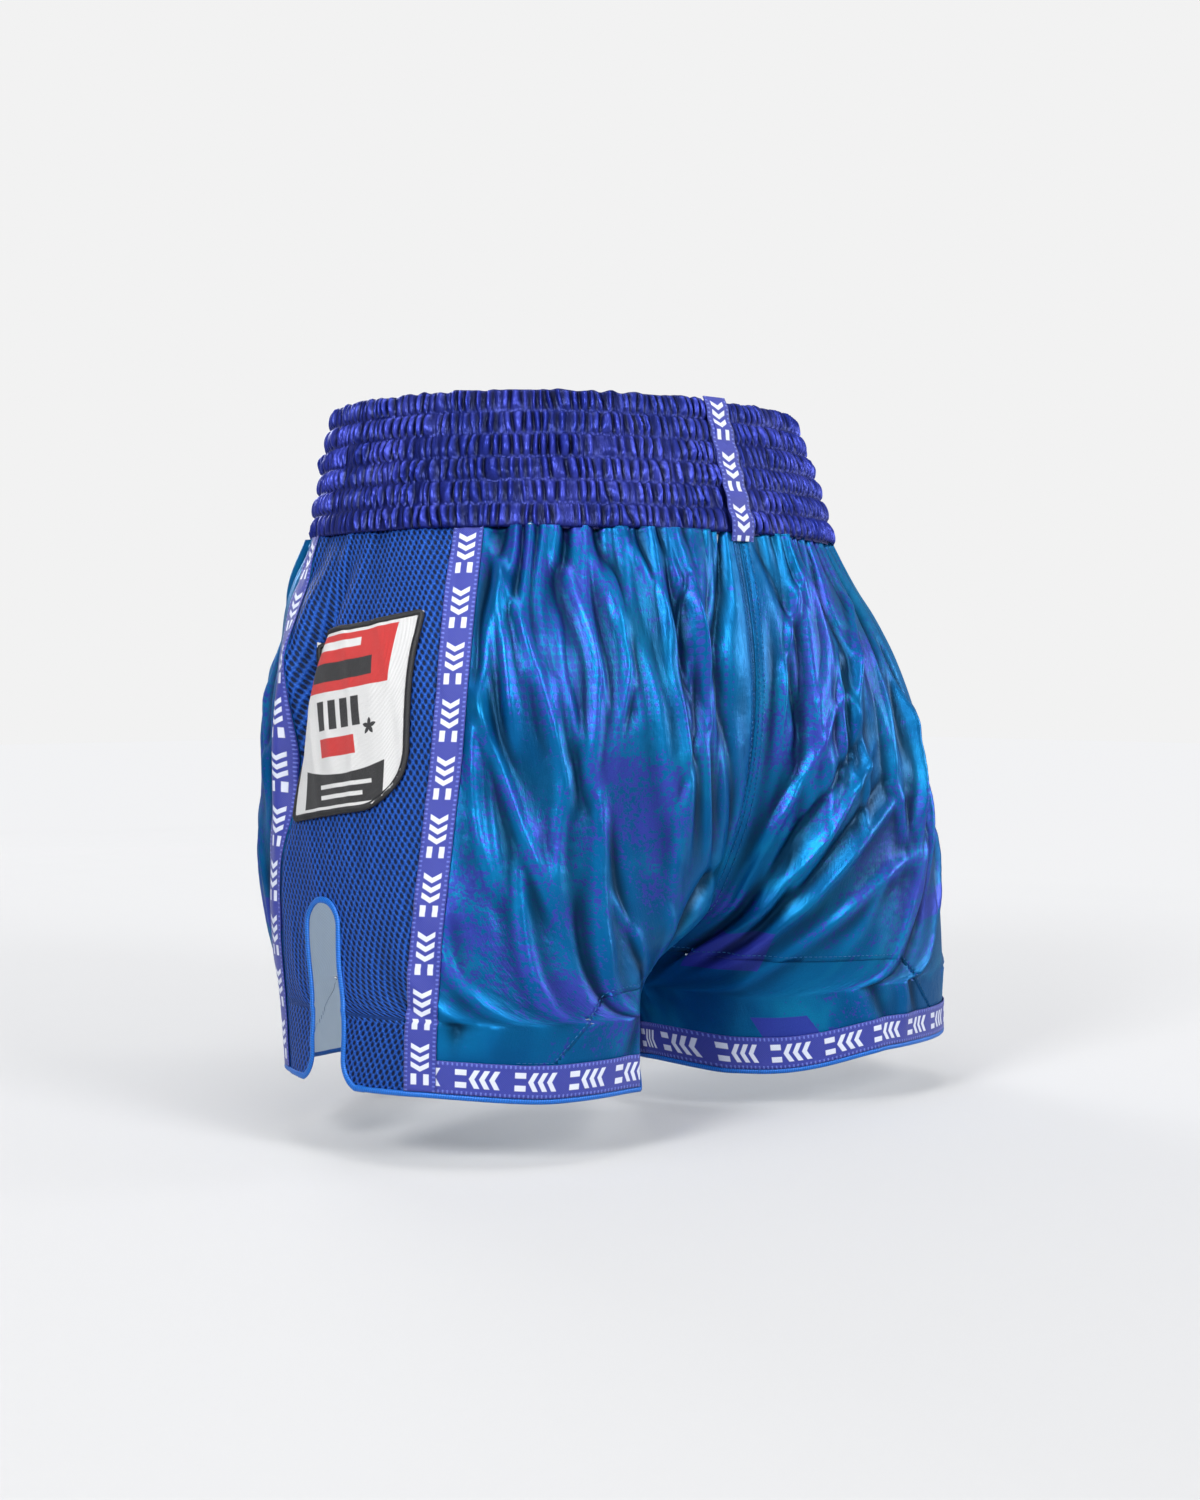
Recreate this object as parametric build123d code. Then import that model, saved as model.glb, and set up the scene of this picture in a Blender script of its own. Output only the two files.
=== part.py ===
"""Boxing shorts with gathered waistband, mesh side panels and slit legs, worn-open shape, in millimetres.

Frame: +Z up, the front faces -Y, +X is the wearer's left. The origin is under the middle of the garment,
on the plane that both leg hems stand on. Cloth pieces are thin closed shells cut from shared body surfaces.
"""

import os
from math import copysign, cos, pi, sin
from typing import NamedTuple

from build123d import *

# Overall sizes
TOTAL_HEIGHT = 330.0
BAND_HEIGHT = 68.0
SEAM_HEIGHT = TOTAL_HEIGHT - BAND_HEIGHT
INSEAM = 35.0
WIDTH = 388.0
DEPTH = 259.0

# Cloth and layers
CLOTH = 0.8
TAPE_THICKNESS = 0.6
LAYER_GAP = 0.1
SECTION_POINTS = 16

# Waistband
BAND_ROWS = 6
ROW_PUFF = 3.6
SEGMENTS_PER_ROW = 6
LINING_THICKNESS = 0.8
ELASTIC_THICKNESS = 1.0
ELASTIC_WIDTH = 8.0
CORD_CHANNEL_ROW = 3

# Drawstring eyelets in the lining of the cord channel
EYELET_BORE_R = 2.6
EYELET_BARREL_WALL = 0.8
EYELET_FLANGE_R = 4.7
EYELET_FLANGE_THICKNESS = 0.6
EYELET_SPACING = 34.0
EYELET_CLEARANCE = 0.25

# Side panel, tapes and binding
TAPE_WIDTH = 15.0
BINDING_WIDTH = 2.5
BINDING_PROUD = 0.6
SIDE_CUT_START_X = 96.0
SIDE_CUT_END_X = 300.0

# Leg slit
SLIT_HEIGHT = 88.0
SLIT_WIDTH = 24.0
SLIT_MIDDLE_Y = 35.0
SLIT_CORNER_R = 14.0

# Crotch gusset, seen from behind
GUSSET_TOP = 52.0
GUSSET_KNEE = (104.0, 46.0)
GUSSET_HEM_X = 150.0

# Embroidered badge on the wearer's left panel
BADGE_WIDTH = 78.0
BADGE_HEIGHT = 90.0
BADGE_DROP = 45.0
BADGE_MIDDLE_Y = 24.0
BADGE_TILT = 8.0
BADGE_THICKNESS = 1.2
BADGE_BORDER_WIDTH = 2.6
BADGE_BORDER_THICKNESS = 2.0
BADGE_CORNER_R = 4.0
BADGE_LARGE_R = 26.0

# Waist tape over the centre-back seam
WAIST_TAPE_DROP = 4.0

# Care label inside the centre back
LABEL_WIDTH = 30.0
LABEL_LENGTH = 45.0
LABEL_THICKNESS = 0.6
LABEL_CLEARANCE = 0.7


class Station(NamedTuple):
    """One level of a leg tube: a squared ellipse, which the plane x = 0 cuts where the legs meet."""

    height: float
    centre_x: float
    half_width: float
    half_depth: float
    centre_y: float
    squareness: float


def station(height: float, centre_x: float, half_width: float, half_depth: float, centre_y: float,
            squareness: float) -> Station:
    """A station from its shares of the garment's width and depth."""
    return Station(height, centre_x * WIDTH, half_width * WIDTH, half_depth * DEPTH, centre_y * DEPTH, squareness)


HEM = station(0.0, 0.2577, 0.2423, 0.3552, 0.1378, 2.2)
CROTCH = station(INSEAM, 0.2474, 0.2474, 0.3745, 0.1224, 2.3)
THIGH = station(0.324 * SEAM_HEIGHT, 0.2191, 0.268, 0.4093, 0.0838, 2.4)
SEAT = station(0.534 * SEAM_HEIGHT, 0.1624, 0.299, 0.4479, 0.049, 2.5)
HIP = station(0.763 * SEAM_HEIGHT, 0.0876, 0.3479, 0.471, 0.0104, 2.5)
WAIST_SEAM = station(SEAM_HEIGHT, 0.0, 0.3608, 0.4595, -0.0282, 2.3)
WAIST_TOP = station(TOTAL_HEIGHT, 0.0, 0.3196, 0.4093, -0.0591, 2.2)
LEG_STATIONS = [HEM, CROTCH, THIGH, SEAT, HIP, WAIST_SEAM]

# Edges of the mesh side panel, as (y, z), from the hem up
MESH_BACK_EDGE = [
    (0.3127 * DEPTH, 0.0),
    (0.2992 * DEPTH, 0.48 * SEAM_HEIGHT),
    (0.2703 * DEPTH, 0.763 * SEAM_HEIGHT),
    (0.1853 * DEPTH, SEAM_HEIGHT),
]
MESH_FRONT_EDGE = [
    (-0.0154 * DEPTH, 0.0),
    (-0.0849 * DEPTH, 0.48 * SEAM_HEIGHT),
    (-0.1158 * DEPTH, 0.763 * SEAM_HEIGHT),
    (-0.1988 * DEPTH, SEAM_HEIGHT),
]


def squared_ellipse(station: Station, grow: float) -> Face:
    """The station's outline as a flat face, moved outwards by grow."""
    power = 2.0 / station.squareness
    points = []
    for index in range(SECTION_POINTS):
        angle = 2.0 * pi * index / SECTION_POINTS
        across = copysign(abs(cos(angle)) ** power, cos(angle))
        along = copysign(abs(sin(angle)) ** power, sin(angle))
        x = station.centre_x + (station.half_width + grow) * across
        y = station.centre_y + (station.half_depth + grow) * along
        points.append((x, y, station.height))
    return Face(Wire([Edge.make_spline([Vector(*p) for p in points], periodic=True)]))


def leg_body(grow: float) -> Part:
    """The left leg tube as a solid body whose surface is grow outside the cloth's outer face."""
    return loft([squared_ellipse(station, grow) for station in LEG_STATIONS])


def leg_layer(inner: float, outer: float) -> Part:
    """A shell of the left leg tube between two offsets, kept on the wearer's left of x = 0."""
    half = Pos(X=SIDE_CUT_END_X / 2) * Box(SIDE_CUT_END_X, 2 * SIDE_CUT_END_X, 3 * TOTAL_HEIGHT)
    return (leg_body(outer) - leg_body(inner)) & half


def slab(low: float, high: float) -> Part:
    """A wide flat block between two heights."""
    size = 2 * SIDE_CUT_END_X
    return Pos(Z=(low + high) / 2) * Box(2 * size, 2 * size, high - low)


def side_prism(outline: Face) -> Part:
    """Extrudes an outline drawn in y and z through the outer wall of the left leg."""
    placed = Plane.YZ.offset(SIDE_CUT_START_X) * outline
    return extrude(placed, SIDE_CUT_END_X - SIDE_CUT_START_X)


def side_zone(grow: float) -> Part:
    """The side panel's zone of the leg wall, wider by grow at its front and its back edge."""
    margin = 5.0

    def edge(line: list, shift: float) -> Edge:
        points = [(line[0][0], -margin), *line[1:-1], (line[-1][0], SEAM_HEIGHT + margin)]
        return Spline([(y + shift, z) for y, z in points])

    front, back = edge(MESH_FRONT_EDGE, -grow), edge(MESH_BACK_EDGE, grow)
    return side_prism(make_face([front, back, Line(front @ 0, back @ 0), Line(front @ 1, back @ 1)]))


def slit_zone(grow: float) -> Part:
    """The notch that opens the side of the leg, wider by grow on every side, flared at the hem."""
    middle = SLIT_MIDDLE_Y
    half = SLIT_WIDTH / 2 + grow
    flare = SLIT_CORNER_R - grow
    top = SLIT_HEIGHT + grow
    slot = Polyline(
        (middle - half, flare),
        (middle - half, top - half),
    )
    arch = ThreePointArc((middle - half, top - half), (middle, top), (middle + half, top - half))
    right = Line((middle + half, top - half), (middle + half, flare))
    flare_right = RadiusArc((middle + half, flare), (middle + half + flare, 0), -flare)
    flare_left = RadiusArc((middle - half - flare, 0), (middle - half, flare), -flare)
    base = Polyline(
        (middle + half + flare, 0),
        (middle + half + flare, -5),
        (middle - half - flare, -5),
        (middle - half - flare, 0),
    )
    return side_prism(make_face([slot, arch, right, flare_right, base, flare_left]))


def gusset_zone(grow: float) -> Part:
    """The block that takes the crotch gusset out of the left leg, larger by grow upwards and outwards."""
    knee_x, knee_z = GUSSET_KNEE
    outline = Polyline(
        (-1.0, GUSSET_TOP + grow),
        (knee_x + grow, knee_z + grow),
        (GUSSET_HEM_X + grow, -1.0),
        (-1.0, -1.0),
        close=True,
    )
    return extrude(Plane.XZ * make_face(outline), SIDE_CUT_END_X, both=True)


def mirrored(shape: Part) -> Part:
    """The same piece for the wearer's right."""
    return mirror(shape, about=Plane.YZ)


def save(name: str, *shapes) -> None:
    """Writes one node's STEP file."""
    solids = [solid for shape in shapes for solid in shape.solids()]
    body = solids[0] if len(solids) == 1 else Compound(children=solids)
    body.label = name
    export_step(body, f"parts/{name}.step")


def leg_pieces() -> dict:
    """Satin panels, mesh panel, gusset, tapes and binding of the left leg."""
    cloth = leg_layer(-CLOTH, 0.0) & slab(BINDING_WIDTH + LAYER_GAP, SEAM_HEIGHT - LAYER_GAP)
    mesh = (cloth & side_zone(0.0)) - slit_zone(BINDING_WIDTH + LAYER_GAP)
    gusset = cloth & gusset_zone(0.0)
    satin = (cloth - side_zone(LAYER_GAP) - gusset_zone(LAYER_GAP)).solids().sort_by(Axis.Y)
    tape = leg_layer(LAYER_GAP, LAYER_GAP + TAPE_THICKNESS)
    tape = tape & slab(BINDING_WIDTH + LAYER_GAP, SEAM_HEIGHT - LAYER_GAP)
    side_tapes = ((tape & side_zone(TAPE_WIDTH)) - side_zone(0.0)).solids().sort_by(Axis.Y)
    hem_tape = (tape & slab(0.0, BINDING_WIDTH + TAPE_WIDTH)) - side_zone(TAPE_WIDTH + LAYER_GAP)
    edge = leg_layer(-CLOTH - BINDING_PROUD, BINDING_PROUD)
    hem_edge = (edge & slab(0.0, BINDING_WIDTH)) - slit_zone(BINDING_WIDTH)
    slit_edge = ((edge & slit_zone(BINDING_WIDTH)) - slit_zone(0.0)) & slab(0.0, SEAM_HEIGHT)
    return {
        "mesh_panel": mesh,
        "front_panel": satin[0],
        "back_panel": satin[-1],
        "gusset": gusset,
        "side_tape_front": side_tapes[0],
        "side_tape_back": side_tapes[-1],
        "hem_tape": hem_tape,
        "hem_binding": hem_edge,
        "slit_binding": slit_edge,
    }


def band_station(height: float) -> Station:
    """The waistband's level at a height, between the waist seam and the top edge."""
    share = (height - SEAM_HEIGHT) / BAND_HEIGHT
    low, high = WAIST_SEAM, WAIST_TOP
    values = [a + (b - a) * share for a, b in zip(low[1:], high[1:])]
    return Station(height, *values)


def band_ring(low: float, high: float, inner: float, outer: float) -> Part:
    """A plain ring of the waistband between two heights and two offsets."""
    ends = [band_station(low), band_station(high)]
    solid = loft([squared_ellipse(end, outer) for end in ends], ruled=True)
    return solid - loft([squared_ellipse(end, inner) for end in ends], ruled=True)


def puffed_body(grow: float) -> Part:
    """The waistband as a solid body that swells between the stitch lines, moved outwards by grow."""
    count = BAND_ROWS * SEGMENTS_PER_ROW
    sections = []
    for index in range(count + 1):
        height = SEAM_HEIGHT + BAND_HEIGHT * index / count
        puff = ROW_PUFF * abs(sin(pi * index / SEGMENTS_PER_ROW)) ** 0.6
        sections.append(squared_ellipse(band_station(height), grow + puff))
    return loft(sections, ruled=True)


def row_middle(row: int) -> float:
    """Height of the middle of a waistband row, counted from the top."""
    pitch = BAND_HEIGHT / BAND_ROWS
    return TOTAL_HEIGHT - (row + 0.5) * pitch


def eyelet_frame(side: int) -> Plane:
    """The frame of an eyelet, in the middle of the lining's wall, facing out of the garment's front."""

    def wall_y(x: float, height: float) -> float:
        station = band_station(height)
        inset = CLOTH + LAYER_GAP + LINING_THICKNESS / 2
        across = abs(x) / (station.half_width - inset)
        depth = (1.0 - across**station.squareness) ** (1.0 / station.squareness)
        return station.centre_y - (station.half_depth - inset) * depth

    x, height, step = side * EYELET_SPACING / 2, row_middle(CORD_CHANNEL_ROW), 0.5
    slope_x = (wall_y(x + step, height) - wall_y(x - step, height)) / (2 * step)
    slope_z = (wall_y(x, height + step) - wall_y(x, height - step)) / (2 * step)
    return Plane(origin=(x, wall_y(x, height), height), z_dir=(slope_x, -1.0, slope_z))


def eyelet(side: int) -> Part:
    """A rolled metal eyelet through the lining, with a flange on each face."""
    barrel_r = EYELET_BORE_R + EYELET_BARREL_WALL
    length = LINING_THICKNESS + 2 * (EYELET_CLEARANCE + EYELET_FLANGE_THICKNESS)
    body = Cylinder(barrel_r, length)
    for end in (-1, 1):
        flange = Cylinder(EYELET_FLANGE_R, EYELET_FLANGE_THICKNESS)
        body += Pos(Z=end * (length - EYELET_FLANGE_THICKNESS) / 2) * flange
    body -= Cylinder(EYELET_BORE_R, 2 * length)
    return eyelet_frame(side) * body


def waistband_pieces() -> dict:
    """The gathered outer shell, the lining with its cord holes, the elastics and the eyelets."""
    shell = puffed_body(0.0) - puffed_body(-CLOTH)
    lining_out = -CLOTH - LAYER_GAP
    lining_in = lining_out - LINING_THICKNESS
    lining = band_ring(SEAM_HEIGHT, TOTAL_HEIGHT, lining_in, lining_out)
    hole_r = EYELET_BORE_R + EYELET_BARREL_WALL + LAYER_GAP
    for side in (-1, 1):
        lining -= eyelet_frame(side) * Cylinder(hole_r, 2 * EYELET_FLANGE_R)
    pieces = {"waistband_shell": shell, "waistband_lining": lining}
    elastic_in = lining_out + LAYER_GAP
    for row in range(BAND_ROWS):
        if row == CORD_CHANNEL_ROW:
            continue
        middle = row_middle(row)
        ends = (middle - ELASTIC_WIDTH / 2, middle + ELASTIC_WIDTH / 2)
        ring = band_ring(*ends, elastic_in, elastic_in + ELASTIC_THICKNESS)
        pieces[f"waist_elastic_{row + 1}"] = ring
    pieces["drawstring_eyelets"] = Compound(children=[*eyelet(-1).solids(), *eyelet(1).solids()])
    return pieces


def waist_tape() -> Part:
    """The woven tape that covers the waistband's centre-back seam."""
    inner = ROW_PUFF + LAYER_GAP
    low = SEAM_HEIGHT - WAIST_TAPE_DROP
    ring = band_ring(low, TOTAL_HEIGHT, inner, inner + TAPE_THICKNESS)
    reach = WAIST_SEAM.half_depth + 2 * TAPE_WIDTH
    cutter = Pos(0, reach / 2, SEAM_HEIGHT) * Box(TAPE_WIDTH, reach, 3 * TOTAL_HEIGHT)
    return ring & cutter


def badge_outline(inset: float) -> Face:
    """The badge's outline in y and z: square above, one lower corner swept in a large curve."""
    width, height = BADGE_WIDTH - 2 * inset, BADGE_HEIGHT - 2 * inset
    sheet = Rectangle(width, height)
    corners = sheet.vertices().sort_by(Axis.X)
    back_low = corners[-2:].sort_by(Axis.Y)[0]
    others = [corner for corner in sheet.vertices() if corner != back_low]
    sheet = fillet(others, BADGE_CORNER_R - inset)
    back_low = sheet.vertices().sort_by(lambda v: v.Y - v.X)[0]
    sheet = fillet(back_low, BADGE_LARGE_R - inset)
    place = Pos(BADGE_MIDDLE_Y, SEAM_HEIGHT - BADGE_DROP - BADGE_HEIGHT / 2)
    return (place * Rot(Z=BADGE_TILT) * sheet).face()


def badge_pieces() -> dict:
    """The woven badge and its overlocked border."""
    border_layer = leg_layer(LAYER_GAP, LAYER_GAP + BADGE_BORDER_THICKNESS)
    base_layer = leg_layer(LAYER_GAP, LAYER_GAP + BADGE_THICKNESS)
    hole = side_prism(badge_outline(BADGE_BORDER_WIDTH))
    inside = side_prism(badge_outline(BADGE_BORDER_WIDTH + LAYER_GAP))
    return {
        "badge_border": (border_layer & side_prism(badge_outline(0.0))) - hole,
        "badge_base": base_layer & inside,
    }


def care_label() -> Part:
    """The care label that hangs from the waist seam inside the centre back."""
    inner_y = WAIST_SEAM.centre_y + WAIST_SEAM.half_depth - CLOTH - LAYER_GAP - LINING_THICKNESS
    middle_y = inner_y - LABEL_CLEARANCE - LABEL_THICKNESS / 2
    top = SEAM_HEIGHT - LABEL_CLEARANCE
    return Pos(0, middle_y, top - LABEL_LENGTH / 2) * Box(LABEL_WIDTH, LABEL_THICKNESS, LABEL_LENGTH)


def main() -> None:
    """Builds every piece and writes its STEP file."""
    os.makedirs("parts", exist_ok=True)
    leg = leg_pieces()
    gusset = leg.pop("gusset")
    save("crotch_gusset", gusset + mirrored(gusset))
    for name, piece in leg.items():
        save(f"{name}_left", piece)
        save(f"{name}_right", mirrored(piece))
    for name, piece in {**waistband_pieces(), **badge_pieces()}.items():
        save(name, piece)
    save("waist_tape_back", waist_tape())
    save("care_label", care_label())


main()
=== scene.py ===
"""Thai-style boxing shorts, held open as if worn, and shown in a plain pale studio.

The cloth pieces lie on one body form. A place on a leg is given by q, the share of the way round from the
centre back (0) to the centre front (1), and by its height z.

Everything is in metres in the CAD frame: +Z up, the front faces -Y, +X is the wearer's left.
"""

import logging
import math
from dataclasses import dataclass, field
from enum import Enum
from typing import Callable, Optional, Sequence, Union

import bmesh
import bpy
import numpy as np
from mathutils import Matrix, Vector


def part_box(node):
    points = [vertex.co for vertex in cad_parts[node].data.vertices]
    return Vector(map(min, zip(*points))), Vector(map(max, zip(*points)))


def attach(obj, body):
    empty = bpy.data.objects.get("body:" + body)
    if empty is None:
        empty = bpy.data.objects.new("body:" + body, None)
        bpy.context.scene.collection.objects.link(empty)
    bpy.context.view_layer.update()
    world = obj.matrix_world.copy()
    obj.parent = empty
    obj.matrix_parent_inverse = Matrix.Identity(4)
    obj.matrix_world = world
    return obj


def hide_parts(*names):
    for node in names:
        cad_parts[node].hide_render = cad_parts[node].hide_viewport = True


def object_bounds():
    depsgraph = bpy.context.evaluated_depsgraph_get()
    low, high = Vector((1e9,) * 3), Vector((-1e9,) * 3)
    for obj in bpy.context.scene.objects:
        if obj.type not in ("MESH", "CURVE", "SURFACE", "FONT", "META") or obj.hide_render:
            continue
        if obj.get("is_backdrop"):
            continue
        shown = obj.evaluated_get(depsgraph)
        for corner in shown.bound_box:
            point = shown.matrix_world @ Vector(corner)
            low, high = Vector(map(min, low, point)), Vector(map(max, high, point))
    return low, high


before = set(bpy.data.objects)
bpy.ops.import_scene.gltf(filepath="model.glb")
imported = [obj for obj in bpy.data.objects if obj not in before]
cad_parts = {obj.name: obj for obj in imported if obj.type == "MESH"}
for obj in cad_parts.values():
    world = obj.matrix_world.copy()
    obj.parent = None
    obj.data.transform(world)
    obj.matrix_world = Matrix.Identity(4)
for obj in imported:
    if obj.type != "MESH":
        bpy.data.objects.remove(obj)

log = logging.getLogger("shorts")

SEAM_Z = 0.262
TOP_Z = 0.330
PANEL_HEAD_Z = SEAM_Z + 0.001
PANEL_FOOT_Z = 0.0012
BINDING_Z = 0.0013
TAPE_FOOT_Z = 0.0026
CLOTH_STEP = 0.0017
TAPE_STEP = 0.0016
BODY = "root"


class Side(Enum):
    """A leg of the shorts, with the sign of its x."""

    LEFT = 1
    RIGHT = -1


def smooth(edge0: float, edge1: float, value: np.ndarray) -> np.ndarray:
    """A soft step from 0 at edge0 to 1 at edge1."""
    share = np.clip((value - edge0) / (edge1 - edge0), 0.0, 1.0)
    return share * share * (3.0 - 2.0 * share)


def valley_shade_of(height: np.ndarray, cells: int, low: float, high: float,
              axes: Sequence[int] = (0, 1)) -> np.ndarray:
    """How far each place of a grid stands above its surroundings, from 0 in a valley to 1 on a crest. The pieces
    use it as painted shade, which darkens their base colour in the valleys.

    Args:
        height: Heights on the grid.
        cells: Half the width of the surroundings, in grid steps.
        low: Height difference that gives 0.
        high: Height difference that gives 1.
        axes: Directions of the grid in which the surroundings are taken.

    Returns:
        The share for each place.
    """
    mean = height
    for axis in axes:
        padded = np.pad(mean, [(cells + 1, cells) if k == axis else (0, 0) for k in (0, 1)], mode="edge")
        total = np.cumsum(padded, axis=axis)
        span = 2 * cells + 1
        ahead = np.take(total, np.arange(span, total.shape[axis]), axis=axis)
        behind = np.take(total, np.arange(0, total.shape[axis] - span), axis=axis)
        mean = (ahead - behind) / span
    return smooth(low, high, height - mean)


class Noise:
    """Seeded smooth value noise over one or two numbers."""

    def __init__(self, seed: int) -> None:
        """Fills the table from the seed."""
        self._table = np.random.default_rng(seed).uniform(-1.0, 1.0, (64, 64))

    def __call__(self, u: np.ndarray, v: np.ndarray | float = 0.0) -> np.ndarray:
        """Noise from -1 to 1 at each (u, v), with a grain of one unit.

        Args:
            u: First coordinate.
            v: Second coordinate, of a shape that matches u.

        Returns:
            The noise at each place.
        """
        u, v = np.broadcast_arrays(np.asarray(u, float), np.asarray(v, float))
        iu, iv = np.floor(u).astype(int), np.floor(v).astype(int)
        fu, fv = u - iu, v - iv
        fu, fv = fu * fu * (3 - 2 * fu), fv * fv * (3 - 2 * fv)
        pick = lambda a, b: self._table[(iu + a) % 64, (iv + b) % 64]
        low = pick(0, 0) * (1 - fu) + pick(1, 0) * fu
        high = pick(0, 1) * (1 - fu) + pick(1, 1) * fu
        return low * (1 - fv) + high * fv


def curve_through(heights: np.ndarray, values: np.ndarray, slopes: np.ndarray, z: np.ndarray) -> np.ndarray:
    """A smooth curve through the values given at rising heights.

    Args:
        heights: The heights that have values.
        values: One value, or one row of values, for each height.
        slopes: How fast each value changes with height.
        z: Where the curve is read.

    Returns:
        The values at each z.
    """
    zc = np.clip(z, heights[0], heights[-1])
    i = np.clip(np.searchsorted(heights, zc, side="right") - 1, 0, len(heights) - 2)
    step = heights[i + 1] - heights[i]
    s = (zc - heights[i]) / step
    if values.ndim > 1:
        step, s = step[..., None], s[..., None]
    return (
        (1 + 2 * s) * (1 - s) ** 2 * values[i]
        + s * (1 - s) ** 2 * step * slopes[i]
        + s * s * (3 - 2 * s) * values[i + 1]
        + s * s * (s - 1) * step * slopes[i + 1]
    )


def run_along(path: np.ndarray) -> np.ndarray:
    """The distance from a path's start to each of its points."""
    return np.concatenate([[0], np.cumsum(np.linalg.norm(np.diff(path, axis=0), axis=1))])


# ---------------------------------------------------------------- the body form


@dataclass(frozen=True)
class Station:
    """One level of the form: a squared ellipse, which x = 0 cuts where the legs meet."""

    height: float
    centre_x: float
    half_width: float
    half_depth: float
    centre_y: float
    squareness: float


LEG_STATIONS = (
    Station(0.000, 0.100, 0.094, 0.092, 0.0357, 2.2),
    Station(0.035, 0.096, 0.096, 0.097, 0.0317, 2.3),
    Station(0.085, 0.085, 0.104, 0.106, 0.0217, 2.4),
    Station(0.140, 0.063, 0.116, 0.116, 0.0127, 2.5),
    Station(0.200, 0.034, 0.135, 0.122, 0.0027, 2.5),
    Station(0.262, 0.000, 0.140, 0.119, -0.0073, 2.3),
)
BAND_STATIONS = (LEG_STATIONS[-1], Station(0.330, 0.000, 0.124, 0.106, -0.0153, 2.2))


class Form:
    """A smooth surface through stations, addressed by an angle around it and a height."""

    def __init__(self, stations: Sequence[Station]) -> None:
        """Keeps the stations' values and how fast they change."""
        self._heights = np.array([s.height for s in stations])
        self._values = np.array(
            [(s.centre_x, s.half_width, s.half_depth, s.centre_y, s.squareness) for s in stations]
        )
        self._slopes = np.gradient(self._values, self._heights, axis=0)

    def values(self, z: np.ndarray) -> list[np.ndarray]:
        """Centre x, half width, half depth, centre y and squareness at each height."""
        out = curve_through(self._heights, self._values, self._slopes, np.asarray(z, float))
        return [out[..., k] for k in range(out.shape[-1])]

    def place(self, t: np.ndarray, z: np.ndarray) -> np.ndarray:
        """The surface point at each angle and height.

        Args:
            t: Angle, 0 at the outermost side and positive towards the back.
            z: Height.

        Returns:
            Points, with x, y and z in the last axis.
        """
        cx, rx, ry, cy, n = self.values(z)
        c, s = np.cos(t), np.sin(t)
        x = cx + rx * np.sign(c) * np.abs(c) ** (2 / n)
        y = cy + ry * np.sign(s) * np.abs(s) ** (2 / n)
        return np.stack([x, y, np.broadcast_to(z, x.shape)], axis=-1)

    def normal(self, p: np.ndarray) -> np.ndarray:
        """The outward unit normal at each surface point.

        Args:
            p: Surface points, which may be changed.

        Returns:
            The unit normals.
        """

        def level(z: np.ndarray) -> np.ndarray:
            """How far out each point lies, where 1 is on the surface of that height."""
            cx, rx, ry, cy, n = self.values(z)
            return np.abs((p[..., 0] - cx) / rx) ** n + np.abs((p[..., 1] - cy) / ry) ** n

        cx, rx, ry, cy, n = self.values(p[..., 2])
        u, v = (p[..., 0] - cx) / rx, (p[..., 1] - cy) / ry
        gx = n * np.sign(u) * np.abs(u) ** (n - 1) / rx
        gy = n * np.sign(v) * np.abs(v) ** (n - 1) / ry
        gz = (level(p[..., 2] + 0.001) - level(p[..., 2] - 0.001)) / 0.002
        g = np.stack([gx, gy, gz], axis=-1)
        return g / np.linalg.norm(g, axis=-1, keepdims=True)


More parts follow.
